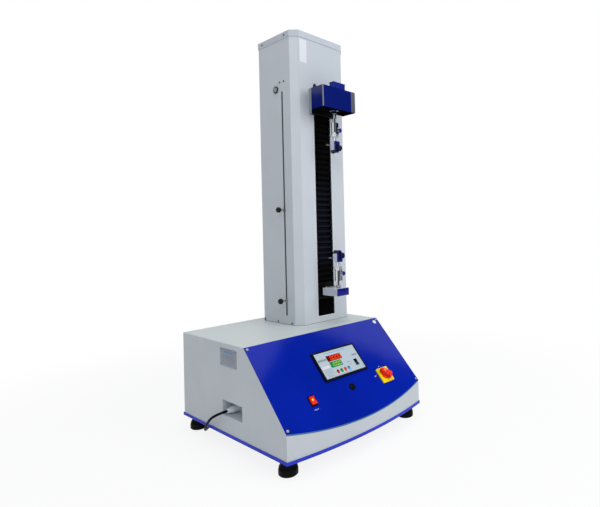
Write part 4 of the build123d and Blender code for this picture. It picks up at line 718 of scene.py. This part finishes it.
def makeBellows(end):
    look, part = bellows, bellows[end]
    span = part["top"] - part["bottom"]
    pleats = round(span / part["pitch"])
    width = look["right"] - look["left"]
    deep = look["back"] - look["front"] - look["thick"]
    slack = min(look["sag"], part["pitch"] * look["mostSag"])
    freshStart()
    bpy.ops.mesh.primitive_grid_add(x_subdivisions=look["across"], y_subdivisions=pleats * look["perPleat"], size=1)
    piece = bpy.context.object
    piece.name = f"{end}_bellows_cloth"
    for point in piece.data.vertices:
        across, along = point.co.x + 0.5, point.co.y + 0.5
        number = int(along * pleats)
        wave = 0.5 - 0.5 * cos(2 * pi * along * pleats)
        depth = deep * (1 - look["depthVaries"] + look["depthVaries"] * sin(number * 2.3))
        turned = max(0, 1 - min(across, 1 - across) * width / look["edge"]) ** 2  # the sides fold back
        out = wave ** look["crest"] * (1 - look["foldBack"] * turned)
        uneven = 1 - look["sagVaries"] + look["sagVaries"] * sin(number * 1.7)
        sag = slack * wave * (1 - (2 * across - 1) ** 2) * uneven
        ends = min(1, along * pleats, (1 - along) * pleats)
        point.co = (look["left"] + width * across, look["back"] - depth * out,
                    part["bottom"] + span * along - sag * ends)
    wall = piece.modifiers.new("wall", "SOLIDIFY")
    wall.thickness = look["thick"]
    wall.offset = 0
    applyAll(piece)
    pickFaces(piece, lambda centre, normal: True)
    bpy.ops.mesh.normals_make_consistent(inside=False)
    pickOnly(piece)
    bpy.ops.object.shade_smooth()
    piece.data.materials.append(finishes["bellowsBlack"].close())
    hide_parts("bellows_" + end)
    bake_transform(piece)


makeBellows("upper")
makeBellows("lower")
print("bellows folded")

# display face, its two windows and the lit digits, in millimetres on the panel
display = {
    "middle": (270.5, 136.5), "face": (158.6, 82.6), "faceLow": 5.5, "faceThick": 0.35, "corner": 1.2, "sunk": 0.05,
    "redWindow": {"middle": (257.0, 153.9), "size": (57, 19), "text": "0.000", "digit": (7.4, 12.6), "start": -11.5,
                  "pitch": 11.2},
    "greenWindow": {"middle": (252.3, 133.2), "size": (45, 18.4), "text": "100.0", "digit": (6.4, 11.0),
                    "start": -15.2, "pitch": 10.2},
    "windowRise": 0.25, "windowCorner": 0.8, "windowEdge": 0.08,
    "digitRise": 0.12, "barWidth": 1.5, "barShort": 0.25, "dot": 0.55, "lean": 0.08,
    "keys": (243.5, 258.3, 273.1, 287.9), "keyUp": 110,
}
faceTop = display["faceLow"] + display["faceThick"]
# the bars of a digit: across, up, and whether it stands upright
digitBars = {"a": (0, 1, False), "b": (0.5, 0.5, True), "c": (0.5, -0.5, True), "d": (0, -1, False),
             "e": (-0.5, -0.5, True), "f": (-0.5, 0.5, True), "g": (0, 0, False)}
litBars = {"0": "abcdef", "1": "bc"}


def makeBar(long, wide, thick):
    # one bar of a digit: a flat hexagon drawn out to its length
    freshStart()
    bpy.ops.mesh.primitive_cylinder_add(vertices=6, radius=0.5, depth=thick, rotation=(0, 0, pi / 2))
    bar = justAdded("bar")
    for point in bar.data.vertices:
        tip = abs(point.co.x) < 0.1
        point.co.x = 0 if tip else copysign(wide / 2, point.co.x)
        point.co.y = copysign((long if tip else long - wide) / 2, point.co.y)
    return bar


def makeDigits(name, window, finish, dull):
    wide, high = (value / 1000 for value in window["digit"])
    thick, stroke = display["digitRise"] / 1000, display["barWidth"] / 1000
    long = high / 2 - stroke * display["barShort"]
    tall = makeBar(long, stroke, thick)
    lying = Matrix.Rotation(pi / 2, 4, "Z") @ Matrix.Diagonal((1, (wide - stroke * 0.4) / long, 1, 1))
    lean = Matrix.Identity(4)
    lean[0][1] = display["lean"]
    first, up = window["middle"][0] + window["start"], window["middle"][1]
    out = faceTop + display["windowRise"] + display["digitRise"] / 2
    shown, hidden = [], []
    column = 0
    for letter in window["text"]:
        if letter == ".":
            dot = addRound("dot", stroke * display["dot"], thick, 12)
            dot.data.transform(panelPlace(first + (column - 0.5) * window["pitch"], up - high * 500, out))
            shown.append(dot)
            continue
        middle = panelPlace(first + column * window["pitch"], up, out) @ lean
        for key, (sideways, upward, upright) in digitBars.items():
            shift = Matrix.Translation((sideways * wide, upward * high / 2, 0))
            bar = copyTo(tall, f"{name}_{column}_{key}", middle @ shift @ (Matrix.Identity(4) if upright else lying))
            (shown if key in litBars[letter] else hidden).append(bar)
        column += 1
    bpy.data.objects.remove(tall)
    settle(joined(name, shown), finish)
    settle(joined(name + "_unlit", hidden), dull)


def flatPiece(name, across, up, width, height, low, thick, corner, finish, bevel=0.0):
    # a thin plate along the panel, sunk a little into what carries it
    thick += display["sunk"]
    piece = addBlock(name, (width / 1000, height / 1000, thick / 1000), (0, 0, thick / 2000))
    if corner:
        roundCorners(piece, corner / 1000)
    if bevel:
        softEdges(piece, bevel / 1000, 1)
    settle(piece, finish, panelPlace(across, up, low - display["sunk"]))


def makeDisplay():
    flatPiece("display_face", *display["middle"], *display["face"], display["faceLow"], display["faceThick"],
              display["corner"], "facePale")
    for name, finish in (("red", "windowRed"), ("green", "windowGreen")):
        window = display[name + "Window"]
        flatPiece(f"{name}_window", *window["middle"], *window["size"], faceTop, display["windowRise"],
                  display["windowCorner"], finish, display["windowEdge"])
    makeDigits("red_digits", display["redWindow"], "digitRed", "digitDull")
    makeDigits("green_digits", display["greenWindow"], "digitGreen", "digitFaint")


makeDisplay()

# what else is on the face: bare label bars, small lamps, and an oval pad round each key
faceMarks = {
    "bars": [(210.5, 153.4, 33, 6.6, "inkGrey"), (336.5, 144.9, 18, 4.6, "inkGrey"), (209.0, 130.0, 28, 8.5, "inkPink"),
             (210.5, 123.4, 30, 1.2, "inkBlue"), (270.0, 171.2, 84, 2.2, "inkBlue"), (304.0, 127.4, 11, 1.3, "inkGrey"),
             (303.5, 119.0, 9, 1.3, "inkGrey")],
    "barCorner": 0.3, "thick": 0.12,
    "rows": {"left": 200.5, "ups": (118.4, 114.2, 110.0, 105.8, 101.6), "lengths": (29, 25, 30, 22, 27), "height": 0.9},
    "lamps": [(324.5, 144.8, 1.7, "lampRed"), (295.5, 127.4, 1.3, "inkDark"), (295.5, 119.0, 0.8, "inkGrey"),
              (344.4, 104.8, 1.9, "lampBlue")],
    "lampHigh": 0.5, "lampSunk": 0.02,
    "pad": (9.8, 13.0), "padDrop": 1.6, "padThick": 0.3,
    "caption": (8.5, 1.5), "captionDrop": 11.6, "captionCorner": 0.2,
}


def makeFaceMarks():
    look = faceMarks
    for number, (across, up, length, height, finish) in enumerate(look["bars"]):
        flatPiece(f"face_bar_{number}", across, up, length, height, faceTop, look["thick"], look["barCorner"], finish)
    rows = look["rows"]
    for number, (up, length) in enumerate(zip(rows["ups"], rows["lengths"])):
        flatPiece(f"face_row_{number}", rows["left"] + length / 2, up, length, rows["height"], faceTop, look["thick"],
                  0.0, "inkGrey")
    high = look["lampHigh"] / 1000
    for number, (across, up, radius, finish) in enumerate(look["lamps"]):
        lamp = addRound(f"face_lamp_{number}", radius / 1000, high, 20, (0, 0, high / 2))
        softEdges(lamp, high * 0.4, 3)
        settle(lamp, finish, panelPlace(across, up, faceTop - look["lampSunk"]))
    wide, tall, thick = look["pad"][0] / 1000, look["pad"][1] / 1000, look["padThick"] / 1000
    for across, finish in zip(display["keys"], keyFinishes):
        pad = addRound(f"{finish}_pad", 0.5, thick, 40, (0, 0, thick / 2))
        pad.data.transform(Matrix.Diagonal((wide, tall, 1, 1)))
        softEdges(pad, thick / 4, 2)
        settle(pad, finish,
               panelPlace(across, display["keyUp"] - look["padDrop"], faceTop - display["sunk"]))
        flatPiece(f"{finish}_caption", across, display["keyUp"] - look["captionDrop"], *look["caption"], faceTop,
                  look["thick"], look["captionCorner"], "inkGrey")


makeFaceMarks()
print("display made")

# the red rotary knob: a round skirt and a slanting grip, in millimetres
mainKnob = {"place": (407.5, 53.5), "low": 4.5, "radius": 14.5, "skirt": 4.0, "wide": 25, "long": 43, "high": 12.5,
            "shift": 2.5, "narrow": 0.88, "point": 0.55, "corner": 8.5, "turn": 44, "sunk": 1, "mark": (1.6, 7, 0.25)}


def makeMainKnob():
    radius, skirtHigh, wide, long, high, shift, corner, sunk = (
        mainKnob[key] / 1000 for key in ("radius", "skirt", "wide", "long", "high", "shift", "corner", "sunk"))
    skirt = addRound("main_knob", radius, skirtHigh, 56, (0, 0, skirtHigh / 2))
    softEdges(skirt, skirtHigh / 4, 4)
    grip = addBlock("main_knob_grip", (wide, long, high), (0, 0, skirtHigh + high / 2 - sunk))
    roundCorners(grip, corner, 8)
    for point in grip.data.vertices:  # narrower at the top and towards its pointing end
        point.co.x *= 1 + (mainKnob["point"] - 1) * (0.5 + point.co.y / long)
        if point.co.z > skirtHigh + high / 2:
            point.co.x *= mainKnob["narrow"]
            point.co.y *= mainKnob["narrow"]
    grip.data.transform(Matrix.Translation((0, shift, 0)))
    softEdges(grip, high / 5, 5, 50)
    knob = joined("main_knob", [skirt, grip])
    place = panelPlace(*mainKnob["place"], mainKnob["low"]) @ Matrix.Rotation(radians(mainKnob["turn"]), 4, "Z")
    settle(knob, "knobRed", place, "main_switch", 40)
    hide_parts("main_switch_knob")
    size = [value / 1000 for value in mainKnob["mark"]]
    mark = addBlock("main_knob_mark", size, (0, long * 0.25, skirtHigh + high - sunk))
    softEdges(mark, size[2] / 3, 1)
    settle(mark, "inkWhite", place, "main_switch")


makeMainKnob()

# the words beside the switches: across, up and height
words = {"ON": (405.5, 84.0, 4.6), "OFF": (369.5, 59.0, 4.6), "ON/OFF": (115.5, 30.5, 4.4)}
inkThick = 0.12


def makeWords():
    for word, (across, up, height) in words.items():
        freshStart()
        bpy.ops.object.text_add()
        text = bpy.context.object.data
        text.body = word
        text.size = height / 1000
        text.extrude = inkThick / 2000
        text.align_x = text.align_y = "CENTER"
        bpy.ops.object.convert(target="MESH")
        piece = bpy.context.object
        piece.name = "word_" + word.lower().replace("/", "_")
        settle(piece, "inkWhite", panelPlace(across, up, inkThick / 2))


makeWords()

# screws of the covers and the panel: domed heads with a cross recess, where the CAD has them
screwLook = {"sides": 24, "dome": 0.35, "slotLong": 1.15, "slotWide": 0.24, "slotDeep": 0.55, "reach": 0.012,
             "spin": 0.7}


def screwPlaces():
    groups = []
    for vertex in nodes["cover_screws"].data.vertices:
        near = [group for group in groups if (group[0] - vertex.co).length < screwLook["reach"]]
        if near:
            near[0].append(vertex.co.copy())
        else:
            groups.append([vertex.co.copy()])
    places = []
    for group in groups:
        middle = sum(group, Vector()) / len(group)
        onPanel = middle.y < -0.03 and middle.z < 0.3
        if onPanel:
            out = Vector((0, -slope["rise"], slope["back"]))
        elif middle.y > 0.2:
            out = Vector((0, 1, 0))
        else:
            out = Vector((-1 if middle.x < 0.1 else 1, 0, 0))
        levels = sorted({round(point.dot(out), 5) for point in group})  # end of the shank, seat and top of the head
        foot = middle + out * (levels[-2] - middle.dot(out))
        radius = max((point - middle - out * (point - middle).dot(out)).length for point in group)
        places.append((foot, out, radius, levels[-1] - levels[-2], onPanel))
    return places


def makeScrews():
    head = addRound("screw_head", 1, 1, screwLook["sides"], (0, 0, 0.5))
    pickEdges(head, lambda middle, along: middle.z > 0.99)
    bpy.ops.mesh.bevel(offset=screwLook["dome"], segments=3, affect="EDGES")
    freshStart()
    for turn in (0, pi / 2):
        slot = addBlock("slot", (screwLook["slotLong"], screwLook["slotWide"], screwLook["slotDeep"] * 2), (0, 0, 1))
        slot.data.transform(Matrix.Rotation(turn, 4, "Z"))
        cutBy(head, slot)
    kinds = {True: [], False: []}
    for number, (foot, out, radius, height, onPanel) in enumerate(screwPlaces()):
        turn = out.to_track_quat("Z", "Y").to_matrix().to_4x4() @ Matrix.Rotation(screwLook["spin"] * number, 4, "Z")
        place = Matrix.Translation(foot) @ turn @ Matrix.Diagonal((radius, radius, height, 1))
        kinds[onPanel].append(copyTo(head, f"screw_{number}", place))
    bpy.data.objects.remove(head)
    print("screws:", len(kinds[True]), "on the panel,", len(kinds[False]), "on the covers")
    covers = settle(joined("cover_screw_heads", kinds[False]), "screwSteel")
    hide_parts("cover_screws")
    settle(joined("panel_screw_heads", kinds[True]), "panelScrew")


makeScrews()
print("screws driven")

# bare plates, from corner to corner, and the round label
plates = {
    "rating_plate": {"low": (-0.2658, -0.033, 0.232), "high": (-0.2648, 0.051, 0.282), "side": "left",
                     "corner": 0.003, "edge": 0.0003, "finish": "plateSilver", "slot": "aluminium"},
    "column_label": {"low": (0.032, 0.0302, 1.161), "high": (0.062, 0.0306, 1.238), "side": "front",
                     "corner": 0.0015, "finish": "labelWhite", "slot": "white_plastic"},
    "arm_nose_plate": {"low": (0.0985, -0.0522, 0.388), "high": (0.1515, -0.051, 0.412), "side": "front",
                       "corner": 0.0012, "edge": 0.0003, "finish": "gripBlue", "slot": "grip_blue", "body": "carriage"},
    "rivets": {"radius": 0.0017, "high": 0.0008, "crown": 0.0004, "edge": 0.0002, "inset": 0.0045},
    "sticker": {"across": 509.7, "up": 238.9, "radius": 7.0, "thick": 0.15},
}
stoodUp = {  # a plate is modelled lying, then stood up to face its side
    "left": Matrix(((0, 0, -1), (-1, 0, 0), (0, 1, 0))).to_4x4(),
    "front": Matrix(((1, 0, 0), (0, 0, -1), (0, 1, 0))).to_4x4(),
}


def makePlate(name):
    look = plates[name]
    low, high = Vector(look["low"]), Vector(look["high"])
    deep, wide, tall = high - low
    if look["side"] == "front":
        wide, deep = deep, wide
    plate = addBlock(name, (wide, tall, deep))
    roundCorners(plate, look["corner"])
    if "edge" in look:
        softEdges(plate, look["edge"], 2)
    place = Matrix.Translation((low + high) / 2) @ stoodUp[look["side"]]
    settle(plate, look["finish"], place, look.get("body", "machine"))


def makeRivets():
    look, plate = plates["rivets"], plates["rating_plate"]
    rivet = addRound("rivet", look["radius"], look["high"], 20)
    pickFaces(rivet, lambda centre, normal: normal.z > 0.9)
    bpy.ops.mesh.inset(thickness=look["radius"] * 0.4)
    bpy.ops.transform.translate(value=(0, 0, look["crown"]))
    freshStart()
    softEdges(rivet, look["edge"], 2)
    (x, y0, z0), (_, y1, z1) = plate["low"], plate["high"]
    inset = look["inset"]
    corners = [(y, z) for z in (z0 + inset, z1 - inset) for y in (y0 + inset, y1 - inset)]
    rivets = [copyTo(rivet, f"rivet_{i}", Matrix.Translation((x - look["edge"], y, z)) @ stoodUp["left"])
              for i, (y, z) in enumerate(corners)]
    bpy.data.objects.remove(rivet)
    settle(joined("rating_plate_rivets", rivets), "screwSteel")


def makeSticker():
    look = plates["sticker"]
    sticker = addRound("round_sticker", look["radius"] / 1000, look["thick"] / 1000, 40)
    settle(sticker, "labelWhite", panelPlace(look["across"], look["up"], look["thick"] / 2))


makePlate("rating_plate")
makeRivets()
makePlate("column_label")
makeSticker()


def makeTrim(name, boxes, edge, finish):  # thin strips from corner to corner, as one piece
    trim = joined(name, [addBetween(name, low, high) for low, high in boxes])
    softEdges(trim, edge, 2)
    settle(trim, finish)


# head: silver trim down one edge and a grey strip round the other
head = {"left": 0.052, "right": 0.198, "front": -0.057, "low": 1.002, "high": 1.070, "thick": 0.0005,
        "trimWide": 0.0028, "trimDeep": 0.0025, "stripWide": 0.019, "stripDeep": 0.050, "edge": 0.0002}


def makeHeadTrim():
    left, right, front, low, high, thick = (head[key] for key in ("left", "right", "front", "low", "high", "thick"))
    makeTrim("head_edge_trim",
             [((left - thick, front - thick, low), (left + head["trimWide"], front, high)),
              ((left - thick, front, low), (left, front + head["trimDeep"], high))],
             head["edge"], "edgeTrim")
    makeTrim("head_end_strip",
             [((right + thick - head["stripWide"], front - thick, low), (right + thick, front, high)),
              ((right, front, low), (right + thick, front + head["stripDeep"], high))],
             head["edge"], "stripGrey")


makeHeadTrim()
makePlate("arm_nose_plate")

# black plate under the head, cable gland on it, arm screws, pale strips painting the highlight on the slot's rim, and
# the seal under the column
fittings = {
    "under": {"low": (0.0535, -0.0555, 1.0001), "high": (0.1965, -0.0005, 1.0010), "edge": 0.0002, "hole": 0.0165,
              "axis": (0.125, -0.0295)},
    "gland": {"place": (0.0610, -0.0075, 1.071), "steps": [(0.0068, 0.0035), (0.0052, 0.0065), (0.0036, 0.0030)],
              "overlap": 0.0001},
    "armScrews": {"places": [(0.1065, 0.0085, 0.412), (0.1435, 0.0085, 0.412)], "radius": 0.0034, "high": 0.0028,
                  "socket": 0.0018},
    "slot": {"left": 0.088, "right": 0.162, "low": 0.317, "high": 0.9925, "face": 0.0305, "wide": 0.0016,
             "proud": 0.0004},
    "seal": {"low": (0.0068, 0.0303), "high": (0.2432, 0.2217), "z": 0.2960, "thick": 0.0011, "wall": 0.004,
             "chamfer": 0.022},
}


def makeUnderPlate():
    look = fittings["under"]
    under = addBetween("head_under_plate", look["low"], look["high"])
    cutBy(under, addRound("hole", look["hole"], 0.01, 40, (*look["axis"], look["low"][2])))
    softEdges(under, look["edge"], 1)
    settle(under, "underBlack")


def makeGland():
    look = fittings["gland"]
    height, rounds = 0, []
    for radius, high in look["steps"]:
        step = addRound("gland_step", radius, high, 28, (0, 0, height + high / 2))
        softEdges(step, high / 5, 3)
        rounds.append(step)
        height += high - look["overlap"]
    settle(joined("head_cable_gland", rounds), "blackPlastic", Matrix.Translation(look["place"]))


def makeArmScrews():
    look = fittings["armScrews"]
    screw = addRound("arm_screw", look["radius"], look["high"], 28, (0, 0, look["high"] / 2))
    softEdges(screw, look["high"] / 8, 2)
    cutBy(screw, addRound("socket", look["socket"], look["high"], 6, (0, 0, look["high"])))
    pair = [copyTo(screw, f"arm_screw_{i}", Matrix.Translation(place)) for i, place in enumerate(look["places"])]
    bpy.data.objects.remove(screw)
    settle(joined("arm_screws", pair), "aluminium", body="carriage")


# painted highlight: pale strips down the front slot's edges and across its foot, for the bright rim of the slot
def makeSlotRimHighlight():
    look = fittings["slot"]
    left, right, low, high, wide = (look[key] for key in ("left", "right", "low", "high", "wide"))
    front, back = look["face"] - look["proud"], look["face"]
    boxes = [((left - wide, front, low), (left, back, high)),
             ((right, front, low), (right + wide, back, high)),
             ((left - wide, front, low - wide), (right + wide, back, low))]
    makeTrim("slot_rim_highlight", boxes, look["proud"] / 4, "rimHighlightPaint")


def sealBlock(name, inward, thick):
    look = fittings["seal"]
    size = [high - low - 2 * inward for low, high in zip(look["low"], look["high"])]
    centre = [(low + high) / 2 for low, high in zip(look["low"], look["high"])]
    block = addBlock(name, (*size, thick), (*centre, look["z"] + look["thick"] / 2))
    pickEdges(block, lambda middle, along: abs(along.z) > 0.99 and middle.y < centre[1])
    bpy.ops.mesh.bevel(offset=look["chamfer"] - inward * 0.6, segments=1, affect="EDGES")
    freshStart()
    return block


def makeSeal():
    seal = sealBlock("column_seal", 0, fittings["seal"]["thick"])
    cutBy(seal, sealBlock("inside", fittings["seal"]["wall"], 0.01))
    settle(seal, "frameGrey")


makeUnderPlate()
makeGland()
makeArmScrews()
makeSlotRimHighlight()
makeSeal()
print("trim fitted")

bpy.context.view_layer.update()
